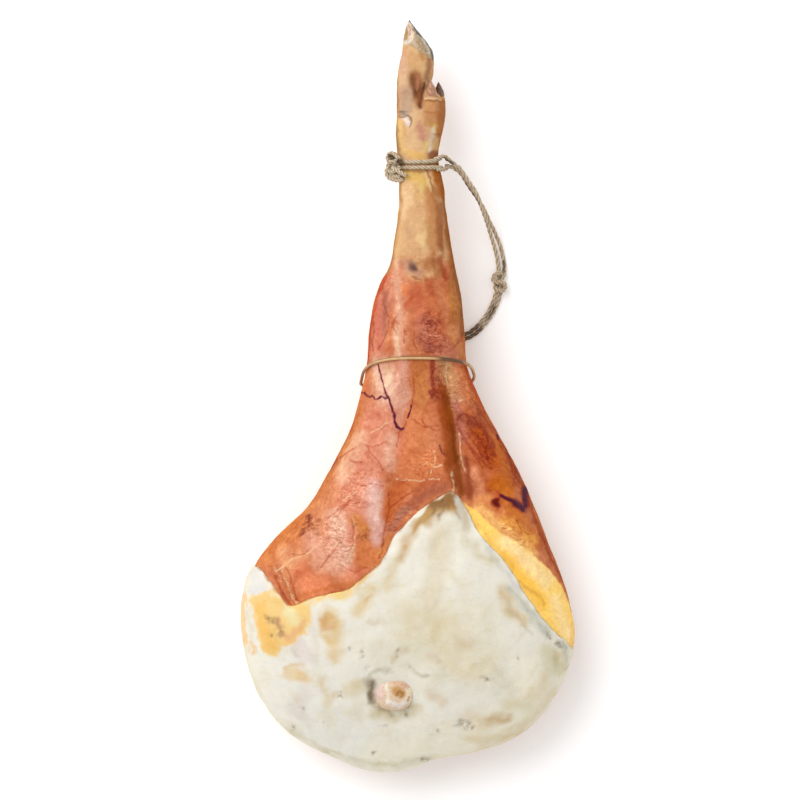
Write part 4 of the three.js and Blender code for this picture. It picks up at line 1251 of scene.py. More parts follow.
# %% Washes on the lard
LARD_BASE = (241, 236, 221)
LARD_WASHES = [
    ((238, 235, 225), 0.8, 26, 26, [[-110, -260], [-90, -320], [-40, -345]]),
    ((227, 213, 178), 0.85, 26, 26, [[40, -236], [62, -264], [10, -226]]),
    ((232, 226, 204), 0.7, 12, 16, [[88, -210], [70, -250], [96, -290]]),
    ((244, 236, 210), 0.8, 16, 26, [
        [136, -270], [122, -306], [88, -334], [40, -352], [0, -362], [-30, -358],
    ]),
    ((233, 228, 212), 0.7, 10, 12, [[30, -282], [50, -292], [20, -300]]),
    ((226, 219, 192), 0.7, 12, 16, [[-10, -262], [-30, -256], [10, -258]]),
    ((224, 210, 180), 0.85, 9, 14, [[32, -138], [30, -152]]),
    ((228, 210, 174), 0.85, 8, 12, [[62, -322], [74, -326]]),
    ((232, 214, 170), 0.9, 4, 6, [[149, -260], [152, -272]]),
    ((222, 212, 182), 0.7, 6, 12, [[-84, -318], [-78, -330]]),
    # Painted light: over 255 to make up for shade on this slope of the lard
    ((258, 250, 230), 0.85, 14, 20, [[116, -276], [124, -292]]),
    # Painted shade along the coat's lower rim
    ((206, 198, 160), 0.7, 2.2, 6, [
        [-118, -334], [-92, -352], [-64, -362], [-34, -369], [0, -366], [24, -361],
    ]),
    # Painted shade along the coat's lower right rim
    ((226, 208, 168), 0.7, 4, 9, [[70, -350], [100, -342], [124, -326], [144, -300]]),
    # Apex
    ((196, 154, 88), 1.2, 9, 9, [[16, -122], [28, -112], [42, -108]]),
    ((158, 108, 46), 1.5, 5.5, 6, [[22, -109], [34, -107], [42, -103]]),
    ((138, 102, 58), 0.9, 1.4, 4, [[27, -106], [27, -120]]),
    ((138, 102, 58), 0.8, 1.2, 3, [[34, -104], [36, -117], [32, -122]]),
    ((150, 112, 60), 0.7, 1, 3, [[42, -98], [46, -112], [52, -121]]),
    ((206, 166, 104), 1.0, 5, 9, [[16, -116], [6, -132], [-2, -148], [-8, -160]]),
    ((176, 132, 72), 0.7, 1.6, 4, [[10, -126], [4, -138]]),
    ((250, 243, 228), 0.95, 2.6, 3, [
        [-24, -156], [-14, -140], [-4, -127], [8, -115], [22, -105], [36, -98],
    ]),
    ((232, 230, 218), 0.85, 3, 4, [[48, -104], [56, -118], [64, -132], [76, -148]]),
    ((228, 215, 186), 0.9, 12, 14, [[34, -142], [30, -170], [22, -200]]),
    ((226, 208, 168), 0.8, 5, 7, [[-14, -164], [-18, -180], [-22, -192]]),
    ((214, 196, 152), 0.6, 5, 8, [[60, -146], [70, -160], [84, -166]]),
    ((210, 204, 134), 0.6, 3, 5, [[84, -164], [90, -168]]),
    # Edge against the meat
    ((252, 214, 124), 1.0, 6.5, 5, [[-114, -212], [-97, -206], [-80, -200], [-63, -196]]),
    ((238, 194, 112), 0.9, 2.6, 4, [[-60, -192], [-50, -186], [-40, -176], [-30, -167]]),
    ((240, 214, 158), 0.8, 4, 5, [[-64, -198], [-50, -192]]),
    ((232, 208, 160), 0.85, 7, 8, [[-38, -194], [-44, -206], [-50, -214]]),
    ((222, 186, 138), 0.7, 2.4, 4, [[-38, -200], [-42, -204]]),
    ((228, 196, 138), 0.95, 8, 9, [[-78, -222], [-76, -240], [-72, -258]]),
    ((214, 162, 98), 0.9, 4, 7, [[-82, -222], [-80, -232]]),
    ((232, 226, 214), 0.8, 6, 8, [[-98, -214], [-92, -240], [-94, -262]]),
    ((230, 216, 208), 0.9, 8, 8, [[-112, -248], [-104, -260]]),
    ((232, 200, 144), 1.0, 8, 7, [[-118, -278], [-106, -280]]),
    ((222, 186, 132), 0.7, 1.6, 3, [[-124, -269], [-104, -268]]),
    ((226, 206, 164), 0.7, 4, 7, [[-86, -286], [-82, -306], [-74, -300]]),
    ((230, 218, 206), 0.8, 8, 9, [[-106, -300], [-112, -312]]),
    # Left corner
    ((229, 226, 222), 0.95, 6, 5, [[-154, -178], [-148, -190], [-156, -194]]),
    ((242, 226, 204), 0.8, 4, 5, [[-143, -180], [-132, -196]]),
    # Right side
    ((218, 188, 134), 0.9, 5, 8, [[92, -196], [102, -212], [116, -226]]),
    ((188, 188, 168), 0.8, 3, 5, [[100, -194], [114, -208], [130, -226], [141, -240]]),
    ((214, 206, 206), 0.7, 2, 4, [[78, -152], [92, -172], [110, -196]]),
    ((216, 208, 166), 0.8, 7, 8, [[138, -256], [146, -274]]),
    ((186, 184, 158), 0.8, 2.2, 4, [[150, -246], [156, -254], [156, -272]]),
    ((196, 186, 138), 0.6, 3, 4, [[146, -264], [148, -270]]),
    ((230, 214, 176), 0.7, 7, 10, [[138, -284], [126, -302]]),
    ((208, 178, 130), 0.85, 5, 7, [[84, -324], [96, -322]]),
    ((226, 204, 160), 0.7, 5, 8, [[60, -342], [90, -344], [110, -334]]),
    ((222, 200, 166), 0.7, 5, 8, [[50, -242], [62, -246]]),
    ((216, 192, 168), 0.7, 3, 6, [[22, -260], [32, -264]]),
    ((218, 190, 152), 0.6, 5, 7, [[24, -300], [34, -306]]),
    ((226, 214, 176), 0.7, 5, 8, [[96, -308], [120, -312]]),
    # Round the bone's end
    ((224, 206, 160), 0.8, 7, 8, [[-50, -288], [-60, -292]]),
    ((210, 196, 158), 0.8, 5, 8, [[-36, -318], [-14, -320], [6, -312]]),
    # Painted shade in the dip beside the bone, on its left and lower left
    ((118, 92, 54), 1.1, 2.8, 6, [[-38.5, -285], [-39, -294], [-36, -303]]),
    ((172, 150, 116), 0.8, 2, 5, [[-38, -306], [-28, -314], [-16, -318]]),
    ((184, 170, 138), 0.8, 1.6, 4, [[-42, -282], [-34, -276], [-20, -273]]),
    ((176, 162, 126), 0.7, 1.2, 3, [[0, -272], [12, -278], [18, -280]]),
    ((206, 188, 156), 0.7, 3, 5, [[-12, -258], [-2, -256], [-16, -264]]),
    ((214, 196, 160), 0.6, 2.4, 5, [[-38, -226], [-26, -224]]),
    ((222, 212, 196), 0.6, 4, 6, [[-108, -318], [-98, -327]]),
]
ORANGE_PATCH = [
    [-161, -203], [-148, -197], [-134, -194], [-126, -203], [-120, -211], [-108, -209], [-98, -206],
    [-98, -227], [-101, -238], [-112, -242], [-120, -248], [-128, -257], [-131, -262], [-141, -260],
    [-147, -254], [-151, -236], [-155, -216],
]
PATCH_WASHES = [
    ((246, 194, 102), 0.95, 6, 6, [[-148, -214], [-144, -232], [-138, -250]]),
    ((240, 226, 172), 0.95, 6, 6, [[-120, -216], [-114, -224]]),
    ((236, 184, 130), 0.9, 3, 4, [[-104, -228], [-114, -238], [-122, -242]]),
    ((192, 138, 100), 0.85, 2.6, 4, [[-132, -224], [-128, -234], [-126, -240]]),
    ((198, 150, 84), 0.8, 1.2, 3, [[-142, -220], [-138, -224], [-132, -222]]),
    ((250, 226, 178), 0.8, 2, 3, [[-136, -198], [-124, -206]]),
    ((234, 228, 212), 0.95, 2.6, 3, [[-159, -212], [-157, -230], [-155, -256]]),
    ((248, 204, 138), 0.95, 3.0, 3, [[-165.5, -200], [-165.3, -225], [-164, -246]]),
    ((242, 192, 120), 0.85, 2, 3, [[-157, -248], [-155.5, -256]]),
]

# %% Pits and drag marks in the lard
# Each: x, y, radius, depth
PITS = [
    [-45, -253, 1.5, 1.2], [-59, -254, 1.1, 0.7], [-42, -271, 1.3, 1.2], [78, -284, 2.4, 1.8],
    [72, -281, 1.6, 0.8], [52, -327, 2.4, 1.3], [58, -329, 1.6, 0.8], [46, -329, 1.2, 0.8],
    [-35, -357, 1.4, 0.8], [-12, -257, 1.0, 0.5], [-2, -318, 1.8, 1.2], [2, -313, 1.2, 0.8],
    [-107, -312, 1.4, 0.9], [-47, -260, 1.2, 0.9], [150, -250, 1.4, 0.8], [138, -238, 1.2, 0.7],
    [-88, -330, 1.2, 0.6], [64, -331, 1.2, 0.7], [-24, -330, 1.1, 0.6], [28, -334, 1, 0.5],
    [108, -262, 1, 0.5], [-115, -331, 1.6, 0.9], [142, -242, 2.2, 1.2], [148, -246, 1.6, 1.0],
    [-69, -300, 1.6, 1.5], [-69.5, -296, 1.1, 1.2], [-139, -226, 2.2, 0.9], [-130, -234, 2.4, 1.2],
    [-136, -240, 1.8, 1.0], [-142, -222, 1.4, 0.7], [14, -363, 2.0, 1.4], [20, -363, 1.8, 1.4],
    [34, -106, 2.0, 1.0], [40, -112, 1.6, 0.8], [-12, -262, 0.9, 0.4],
]
# Each: half width, points along it
DRAG_MARKS = [
    (1.1, [[-30, -273], [-18, -277]]),
    (1.1, [[2, -277], [16, -281]]),
    (1.2, [[-118, -255], [-106, -262]]),
    (1.2, [[96, -204], [110, -222], [124, -238]]),
]

# %% The coat
LARD_PROUD = 1.6
EDGE_SUNK = 1.0
HIDDEN = 2.0
LARD_ROWS = 265
LARD_COLUMNS = (290, 60)
LARD_ROWS_POWER = 1.15
LARD_FROM_Y = -80
EDGE_STEP = 2
EDGE_SAMPLES = 1500
EDGE_LEAD = 0.5
EDGE_RISE = 3.2
RIM_LEAD = 1
RIM_RISE = 3.5
LARD_SWELL = 0.9
LARD_LUMPS = 0.4
LUMP_STRETCH = [1, 0.6, 1]
DRAG_DEPTH = 0.35
PIT_LENGTH = 0.5
# How deep the first rows reach into the leg, under the edge
EDGE_INSETS = [14, 4]
LARD_LOWEST_Z = 2


def first_inside(angles, stations, edge):
    """For each angle, how many stations along the limb's surface first passes the edge's line."""
    t = np.linspace(station_at(stations, LARD_FROM_Y), last_station(stations), EDGE_SAMPLES)
    points = limb(stations, t[:, None], angles[None, :])
    past = points[..., 1] < np.interp(points[..., 0], edge[:, 0], edge[:, 1])
    return t[np.argmax(past, axis=0)]


edge_line = evenly(LARD_OUTLINE[:-2], EDGE_STEP)
lard_angles = around(*LARD_COLUMNS)
lard_start = first_inside(lard_angles, LEG, edge_line)
lard_share = np.linspace(0, 1, LARD_ROWS)[:, None] ** LARD_ROWS_POWER
lard_t = lard_start + (last_station(LEG) - lard_start) * lard_share
lard_points = limb(LEG, lard_t, lard_angles[None, :], relief=True)
lard_normals = normals_of(lard_points)
flat = lard_points.reshape(-1, 3)
edge_way = inside_distance(wander(flat, seed=150, reach=1.4, size=7), LARD_EDGE)
rise = step((edge_way + EDGE_LEAD) / EDGE_RISE)
above_rim = step((flat[:, 2] - BED_LOW_Z + RIM_LEAD) / RIM_RISE)
swells = LARD_SWELL * lumps(flat, size=26, seed=160)
swells = swells + LARD_LUMPS * lumps(flat * LUMP_STRETCH, size=9, seed=165, layers=3)
pits = strokes(flat, [(-deep, r, [[x, y], [x + PIT_LENGTH, y]]) for x, y, r, deep in PITS])
drags = -DRAG_DEPTH * line_strength(wander(flat, seed=170, reach=1.2, size=8), DRAG_MARKS)
lard_height = (LARD_PROUD + EDGE_SUNK + swells + pits + drags) * rise * above_rim - EDGE_SUNK
lard_height -= (HIDDEN - EDGE_SUNK) * (1 - above_rim)
lard_normals[0] = [0, 0, 1]
lard_outward = lard_normals.reshape(-1, 3)
coat = (flat + lard_height[:, None] * lard_outward).reshape(lard_points.shape)
for row, inset in enumerate(EDGE_INSETS):
    coat[row] = limb(LEG, lard_t[row], lard_angles, inset=inset, relief=True)
coat[..., 2] = np.maximum(coat[..., 2], LARD_LOWEST_Z)
print("lard grid:", coat.shape[:2])

# %% The coat's colours
LARD_SOFT = 1.3
PATCH_COLOUR = (246, 206, 126)
PATCH_STRENGTH = 0.95
PATCH_SOFT = 5
EDGE_COLOUR = (172, 128, 70)
EDGE_STRENGTH = 0.55
EDGE_MIDDLE = 1.2
EDGE_WIDTH = 1.6
WEAKEST = 0.66
BREAK_SLOPE = 0.8
PIT_DARK_RADIUS = 1.3
PIT_DARK_LENGTH = 1


def smear(colours, places, washes, hold):
    """Lay washes over one another, each as strong as its hold from place to place."""
    for colour, strength, half, soft, path in washes:
        share = np.minimum(1, strength * hold)
        colours = lay_wash(colours, places, colour, share, half, soft * LARD_SOFT, path)
    return colours


flat = coat.reshape(-1, 3)
near = wander(flat, seed=180, reach=3.4, size=12)
ragged = wander(flat, seed=190, reach=2.4, size=6)
broken = step(0.5 + BREAK_SLOPE * lumps(flat, size=9, seed=185, layers=3))
broken = WEAKEST + (1 - WEAKEST) * broken
colours = smear(washed(near, LARD_BASE, []), near, LARD_WASHES, broken)
colours = lay_patch(colours, ragged, PATCH_COLOUR, PATCH_STRENGTH, PATCH_SOFT, ORANGE_PATCH)
colours = smear(colours, ragged, PATCH_WASHES, broken**0.5)
edge_tone = EDGE_STRENGTH * (1 - step(np.abs(edge_way - EDGE_MIDDLE) / EDGE_WIDTH)) * broken
colours = mix(colours, edge_tone, seen(EDGE_COLOUR))
# The lard is darker in its pits
pit_dark_strokes = [(1, PIT_DARK_RADIUS * r, [[x, y], [x + PIT_DARK_LENGTH, y]]) for x, y, r, _ in PITS]
# The lard's sides get painted shade
values = {
    "tone": paint_side_shade(colours, lard_outward, LARD_SIDE_SHADE_TINT),
    "pit_dark": np.clip(strokes(near, pit_dark_strokes), 0, 1),
    "drag": line_strength(near, DRAG_MARKS),
}
make_piece("lard", flat, tube_faces(*coat.shape[:2]), "lard", ["lard_coat"], values)
print("lard points:", len(flat))

# %% [markdown]
# ## The end of the bone
# The round end of the thigh bone looks out of the lard. It is a ball flattened on the side towards
# the hoof, worn lumpy, with a golden patch of marrow fat.

# %% Bone
BONE_CENTRE = [-14.5, -296.4]
BONE_RADII = [20.8, 18.2, 13]
BONE_SUNK = 4
BONE_SHIFT = [2.5, 2.1]
BONE_ROWS = 56
BONE_COLUMNS = 96
POLE_GAP = 0.02
# Powers that square the ball's sides and its end towards the hoof, and how far that end reaches
SIDE_POWER = 0.9
END_POWER = 0.72
END_REACH = 0.97
BONE_BASE = (228, 200, 168)
BONE_WASHES = [
    ((234, 204, 192), 0.9, 5, 5, [[-31, -289], [-32, -302]]),
    ((238, 230, 208), 0.9, 1.2, 2.5, [[-23, -284], [-24, -296], [-22, -306]]),
    ((224, 178, 152), 0.85, 5, 5, [[-12, -288], [-4, -290]]),
    ((252, 232, 202), 0.9, 3.8, 4, [[-2, -298], [-3, -306]]),
    ((200, 146, 70), 0.9, 4, 4, [[-15, -296], [-9, -299]]),
    ((158, 100, 38), 0.85, 0.9, 2.4, [[-15, -300], [-11, -297], [-8, -299], [-11, -303]]),
    ((148, 108, 90), 0.8, 0.8, 2.5, [
        [-24, -281], [-14, -280], [-4, -281], [2.4, -286], [4.6, -294], [3, -303],
    ]),
    ((242, 230, 218), 0.9, 2.5, 3, [[-22, -309], [-12, -312], [-6, -309]]),
    ((150, 110, 80), 0.8, 0.8, 2, [[-3, -307], [-2, -303]]),
    ((222, 186, 150), 0.7, 2, 4, [[-20, -289], [-10, -286]]),
]
BONE_LUMPS = 0.5
LIP_HEIGHT = 0.9
LIP = [(1.6, [[-20, -307], [-6, -308]])]
MARROW_DEPTH = 1.0
MARROW = [(2.2, [[-14, -294], [-9, -302]])]

bone_z = leg_height(*BONE_CENTRE, lift=LARD_PROUD) - BONE_SUNK
across = whole_turn(BONE_COLUMNS)[None, ::-1]
down = np.linspace(POLE_GAP, np.pi - POLE_GAP, BONE_ROWS)[:, None]
c, s = np.cos(across), np.sin(across)
ball = np.stack([
    np.sin(down) * np.sign(c) * np.abs(c) ** SIDE_POWER,
    np.sin(down) * np.where(s > 0, np.abs(s) ** END_POWER, -np.abs(s)) * np.where(s > 0, END_REACH, 1.0),
    np.cos(down) * np.ones_like(across),
], -1)
flat = (ball * BONE_RADII + [*BONE_CENTRE, bone_z]).reshape(-1, 3)
bumpy = BONE_LUMPS * lumps(flat, size=7, seed=200, layers=3)
bumpy += LIP_HEIGHT * line_strength(flat, LIP)
bumpy -= MARROW_DEPTH * line_strength(flat, MARROW)
flat = flat + bumpy[:, None] * ball.reshape(-1, 3)
near = wander(flat, seed=210, reach=1.2, size=5) - BONE_SHIFT
values = {"tone": washed(near, BONE_BASE, BONE_WASHES)}
make_piece("bone", flat, tube_faces(BONE_ROWS, BONE_COLUMNS), "bone", ["bone_end"], values)
print("bone face at", round(bone_z + BONE_RADII[2], 1), "mm")

# %% [markdown]
# ## Lashing and knot
# Two turns of the rope go round the ankle. At the left they end in a hitch of crossing lobes with
# the cut end on top. At the right two short bends lead into the free loop. The loop's own knot is
# wound round both of its runs.

# %% Routes of the lashing
HITCH = [
    # Under all: four fills, then the lower lobe, the upper lobe, the middle one and the cut end
    [[-9, 236, 66], [-14, 238, 65], [-18, 234, 63], [-18, 228, 63], [-15, 223, 64], [-10, 221, 67]],
    [[-9, 232.5, 71], [-13.5, 230, 69.5], [-17, 225, 67.5], [-14, 220, 69], [-8, 218.4, 73]],
    [[-10.5, 241, 68.5], [-15, 239, 69], [-18.4, 236.6, 67.5], [-19, 232, 64]],
    [[-20.6, 226, 63.5], [-19, 221.6, 64.5], [-15, 218.4, 66], [-10, 217.6, 69]],
    [[-14, 232, 66], [-20, 228, 65.5], [-22, 222.4, 65], [-19.6, 217.6, 65], [-14.6, 215.4, 67],
     [-9.5, 214.8, 70], [-5, 216.4, 73.5]],
    [[-7, 234.6, 76], [-11, 237.6, 76], [-14.6, 241.2, 73.5], [-18.6, 241.4, 70.5], [-20.8, 238, 68],
     [-19.6, 233.8, 67.5], [-15.6, 231.6, 70.5], [-11.6, 232.4, 73.5]],
    [[-11, 234.6, 73], [-16.4, 233.4, 73], [-20, 230, 71], [-20, 225.6, 69.5], [-16.6, 223.4, 71.5],
     [-12, 225, 75], [-8, 228.6, 77.5]],
    [[-17, 228.4, 74.5], [-13, 225.4, 76.5], [-8.6, 222.6, 77.5], [-4.8, 220.6, 79], [-1.6, 219.2, 81]],
]
BEND_UPPER = [
    [25, 235.8, 75.5], [29, 236.6, 73], [33, 238.3, 68.5], [36.6, 238.4, 65.5], [39.6, 236.2, 65],
    [42, 233.8, 64.6],
]
BEND_LOWER = [
    [27, 226, 72.5], [31, 225.3, 69.5], [35, 225.4, 65], [38.6, 227, 61.5], [41.5, 229.4, 60.5],
]
KNOT_ROUTE = [
    [95.8, 119, 3.2], [95.2, 121.8, 6.6], [91, 122.4, 9.2], [86.8, 120.4, 9.8], [85.2, 116.2, 9],
    [88, 113, 10], [93.4, 113.6, 11.2], [96.8, 110.6, 9.6], [96, 106, 8], [91.8, 104.8, 8.6],
    [87.8, 107.2, 8.8], [87.4, 111, 6],
]

# %% Turns round the ankle
TURN_SPACING = 5.6
TURN_Y = 230.2
TURN_RISE = 4
TURN_OFF = 0.1
RING_POINTS = 64
TIGHT_LAY = 12
HITCH_DIAMETER = 4.7


def round_leg(y_of, off):
    """Points round the leg at a distance off its skin, where it has the given y at each angle."""
    a = whole_turn(RING_POINTS)
    off = np.broadcast_to(off(a) if callable(off) else off, a.shape)
    return limb(LEG, station_at(LEG, y_of(a)), a, inset=-off, relief=True)


def turn_y(side):
    rise = TURN_RISE if side > 0 else 0
    return lambda a: TURN_Y + side * TURN_SPACING / 2 + rise * np.maximum(0, np.cos(a)) ** 3


for name, side, node in (("turn_upper", 1, "rope_turn_upper"), ("turn_lower", -1, "rope_turn_lower")):
    ring = round_leg(turn_y(side), ROPE_DIAMETER / 2 + TURN_OFF)
    rope_piece(name, evenly(ring, ROPE_STEP, closed=True), [node], up=(0, 1, 0), closed=True)
for number, route in enumerate(HITCH):
    rope_piece(
        f"hitch_{number}", evenly(route, ROPE_STEP), ["rope_hitch"],
        diameter=HITCH_DIAMETER, lay=TIGHT_LAY, turn=number,
    )
for name, route in (("bend_upper", BEND_UPPER), ("bend_lower", BEND_LOWER)):
    rope_piece(name, evenly(route, ROPE_STEP), [], lay=TIGHT_LAY)
print("lashing:", len(HITCH), "lobes and ends, two turns and two bends")

# %% The knot of the loop
KNOT_DIAMETER = 5

knot_line = evenly(KNOT_ROUTE, ROPE_STEP)
knot = rope_piece("knot", knot_line, ["rope_knot"], diameter=KNOT_DIAMETER, lay=TIGHT_LAY)
print("knot is", round(length_of(knot_line)), "mm of rope")

# %% [markdown]
# ## The cord round the shank
# A thin tan elastic runs slantwise round the shank. It is round and smooth, so a plain tube along
# the same route is its true shape; only its colour changes: it is worn and darker in stretches,
# with painted shade along its edge towards the hoof and a painted highlight on its right.

# %% Elastic cord
BAND_STEP = 1.2
BAND_AROUND = 18
# Painted shade along the cord's edge towards the hoof: strength, start round the tube, soft edge, colour
BAND_SHADE_STRENGTH = 0.85
BAND_SHADE_FROM = 0.35
BAND_SHADE_SOFT = 0.4
BAND_SHADE_COLOUR = (84, 52, 36)
BAND_BASE = (204, 156, 104)
BAND_WASHES = [
    ((92, 58, 38), 0.9, 4, 8, [[35, 37], [44, 35], [52, 33]]),
    # Painted highlight where the cord turns round the shank's right side
    ((226, 188, 136), 0.8, 2, 5, [[62, 28], [66, 20]]),
    ((232, 190, 134), 0.8, 8, 12, [[-26, 36], [0, 38], [18, 38]]),
    ((150, 104, 66), 0.7, 3, 6, [[-48, 14], [-46, 24]]),
]


def band_off(a):
    return BAND_DIAMETER / 2 + BAND["off"] + BAND["off_right"] * np.maximum(0, np.cos(a)) ** 2


band_line = evenly(round_leg(band_y, band_off), BAND_STEP, closed=True)[:-1]
high, across = frames_along(band_line, np.broadcast_to([0.0, 1.0, 0.0], band_line.shape))
a = whole_turn(BAND_AROUND)[None, :, None]
outward = np.cos(a) * high[:, None] + np.sin(a) * across[:, None]
tube = band_line[:, None] + BAND_DIAMETER / 2 * outward
flat = tube.reshape(-1, 3)
# Painted shade along the cord's edge towards the hoof
band_edge_shade = BAND_SHADE_STRENGTH * step((np.cos(a) - BAND_SHADE_FROM) / BAND_SHADE_SOFT)
band_edge_shade = np.broadcast_to(band_edge_shade, (*tube.shape[:2], 1)).ravel()
colours = mix(washed(flat, BAND_BASE, BAND_WASHES), band_edge_shade, seen(BAND_SHADE_COLOUR))
faces = tube_faces(*tube.shape[:2], ring=True)
make_piece("band", flat, faces, "cord", ["shank_band"], {"tone": colours})
print("cord round the shank is", round(length_of(band_line)), "mm")

# %% [markdown]
# ## Materials
# Each material takes its broad colour from the washes and adds what is too fine for them: mottling,
# grain and a net of tiny vessels, with gloss and bump to match.


# %% Small helpers for nodes
def join(tree, value, socket):
    """Link a socket to a socket, or set a plain value on it."""
    if isinstance(value, bpy.types.NodeSocket):
        tree.links.new(value, socket)
    else:
        socket.default_value = value


def node(tree, kind, inputs=None, **settings):
    made = tree.nodes.new("ShaderNode" + kind)
    for key, value in settings.items():
        setattr(made, key, value)
    for key, value in (inputs or {}).items():
        join(tree, value, made.inputs[key])
    return made


def held(tree, name, colour=False):
    made = node(tree, "Attribute", attribute_name=name)
    return made.outputs["Color" if colour else "Fac"]


def noise(tree, places, scale, detail=4, roughness=0.55, distortion=0.0):
    settings = {"Vector": places, "Scale": scale, "Detail": detail, "Roughness": roughness,
                "Distortion": distortion}
    return node(tree, "TexNoise", settings).outputs["Fac"]


def stretch(tree, places, scale):
    return node(tree, "Mapping", {"Vector": places, "Scale": scale}).outputs["Vector"]


def between(tree, value, low, high, start=0.0, end=1.0):
    """A smooth step of a value from start to end as it goes from low to high."""
    settings = {"Value": value, "From Min": low, "From Max": high, "To Min": start, "To Max": end}
    return node(tree, "MapRange", settings, interpolation_type="SMOOTHSTEP").outputs["Result"]


def sums(tree, way, a, b, clamp=False):
    return node(tree, "Math", {0: a, 1: b}, operation=way, use_clamp=clamp).outputs[0]


def blend(tree, share, under, over, way="MIX"):
    made = node(tree, "Mix", data_type="RGBA", blend_type=way)
    join(tree, share, made.inputs[0])
    for socket, colour in ((made.inputs[6], under), (made.inputs[7], over)):
        join(tree, colour if isinstance(colour, bpy.types.NodeSocket) else (*colour, 1.0), socket)
    return made.outputs[2]


def as_seen(*colour):
    return tuple(float(v) for v in seen(colour))


def times(tree, a, b):
    return sums(tree, "MULTIPLY", a, b)


def shade(tree, colour, value, reach, most, tint, way="MULTIPLY"):
    """Blend a tint in as a value goes through its reach, from not at all to the most."""
    low, high = reach
    return blend(tree, between(tree, value, low, high, 0.0, most), colour, tint, way)


def places_and_tone(tree):
    """The places on a piece, and the broad colour that the washes gave it."""
    return node(tree, "TexCoord").outputs["Object"], held(tree, "tone", colour=True)


def new_material(name, **settings):
    material = bpy.data.materials.new(name)
    material.use_nodes = True
    tree = material.node_tree
    shader = tree.nodes["Principled BSDF"]
    for key, value in settings.items():
        shader.inputs[key.replace("_", " ")].default_value = value
    return material, tree, shader


def bump(tree, shader, height, strength, reach_mm):
    settings = {"Height": height, "Strength": strength, "Distance": reach_mm * MM}
    join(tree, node(tree, "Bump", settings).outputs["Normal"], shader.inputs["Normal"])


# %% Skin, meat and yellow fat
def skin_material():
    material, tree, shader = new_material(
        "skin", Subsurface_Weight=0.1, Subsurface_Scale=0.0025, Subsurface_Radius=(1.0, 0.4, 0.2),
        Specular_IOR_Level=0.1,
    )
    places, tone = places_and_tone(tree)
    fat = held(tree, "fat")
    plain = sums(tree, "MAXIMUM", fat, held(tree, "rind"))
    meat = sums(tree, "SUBTRACT", 1.0, times(tree, plain, 0.5))
    broad = noise(tree, places, 48, 9, 0.6, 0.8)
    fine = noise(tree, places, 230, 7, 0.62, 0.4)
    warp = node(tree, "TexNoise", {"Vector": places, "Scale": 60, "Detail": 3}).outputs["Color"]
    warp = node(tree, "VectorMath", {0: warp, "Scale": 0.02}, operation="SCALE").outputs[0]
    warped = node(tree, "VectorMath", {0: places, 1: warp}, operation="ADD").outputs[0]
    wrinkle_way = stretch(tree, warped, (130, 560, 320))
    folds = noise(tree, wrinkle_way, 1.0, 4, 0.55, 0.6)
    wrinkles = held(tree, "wrinkles")

    def net(scale, width):
        cells = node(tree, "TexVoronoi", {"Vector": warped, "Scale": scale}, feature="DISTANCE_TO_EDGE")
        return between(tree, cells.outputs["Distance"], 0.0, width, 1.0, 0.0)

    patches = between(tree, noise(tree, places, 30, 3), 0.48, 0.62)
    lines = times(tree, net(105, 0.09), patches)
    both = sums(tree, "MAXIMUM", net(150, 0.13), times(tree, net(270, 0.16), 0.8))
    tangle = times(tree, both, between(tree, fine, 0.34, 0.52))
    tangle = times(tree, tangle, held(tree, "vessels"))
    tangle = times(tree, tangle, between(tree, broad, 0.40, 0.56, 0.3, 1.0))
    colour = shade(tree, tone, broad, (0.42, 0.68), 0.6, (0.76, 0.50, 0.40))
    colour = shade(tree, colour, broad, (0.47, 0.30), 0.7, (1.2, 1.28, 1.3))
    colour = shade(tree, colour, fine, (0.50, 0.70), 0.6, (0.74, 0.50, 0.40))
    colour = shade(tree, colour, fine, (0.47, 0.30), 0.7, (1.3, 1.45, 1.5))
    colour = blend(tree, times(tree, lines, 0.22), colour, (0.55, 0.22, 0.16), "MULTIPLY")
    # Painted highlights on the wrinkles' crests and painted shade in their creases
    crest_highlight = times(tree, wrinkles, between(tree, folds, 0.52, 0.66, 0.0, 0.6))
    colour = blend(tree, crest_highlight, colour, (1.6, 1.9, 2.0), "MULTIPLY")
    crease_shade = times(tree, wrinkles, between(tree, folds, 0.48, 0.36, 0.0, 0.6))
    colour = blend(tree, crease_shade, colour, (0.62, 0.42, 0.36), "MULTIPLY")
    colour = blend(tree, times(tree, tangle, 0.8), colour, as_seen(122, 36, 14))
    colour = blend(tree, meat, tone, colour)
    worn = between(tree, fine, 0.34, 0.52, 0.82, 1.0)
    vein = times(tree, held(tree, "dark_vein"), worn)
    red_line = times(tree, held(tree, "red_line"), worn)
    pale_line = times(tree, held(tree, "pale_line"), between(tree, fine, 0.40, 0.54, 0.5, 1.0))
    colour = shade(tree, colour, red_line, (0.2, 0.9), 0.62, (0.62, 0.24, 0.14))
    colour = shade(tree, colour, pale_line, (0.3, 0.8), 0.58, as_seen(246, 214, 170), "MIX")
    colour = shade(tree, colour, vein, (0.1, 0.6), 0.7, (0.62, 0.22, 0.32))
    colour = shade(tree, colour, vein, (0.42, 0.78), 0.95, as_seen(82, 14, 58), "MIX")
    join(tree, colour, shader.inputs["Base Color"])
    gloss = sums(tree, "SUBTRACT", between(tree, fine, 0.3, 0.7, 0.36, 0.52), times(tree, fat, 0.1))
    gloss = sums(tree, "ADD", gloss, times(tree, held(tree, "dry"), 0.5), clamp=True)
    join(tree, gloss, shader.inputs["Roughness"])
    height = sums(tree, "ADD", fine, times(tree, times(tree, folds, wrinkles), 1.2))
    height = sums(tree, "SUBTRACT", height, times(tree, lines, 0.2))
    bump(tree, shader, height, 0.4, 0.7)
    return material


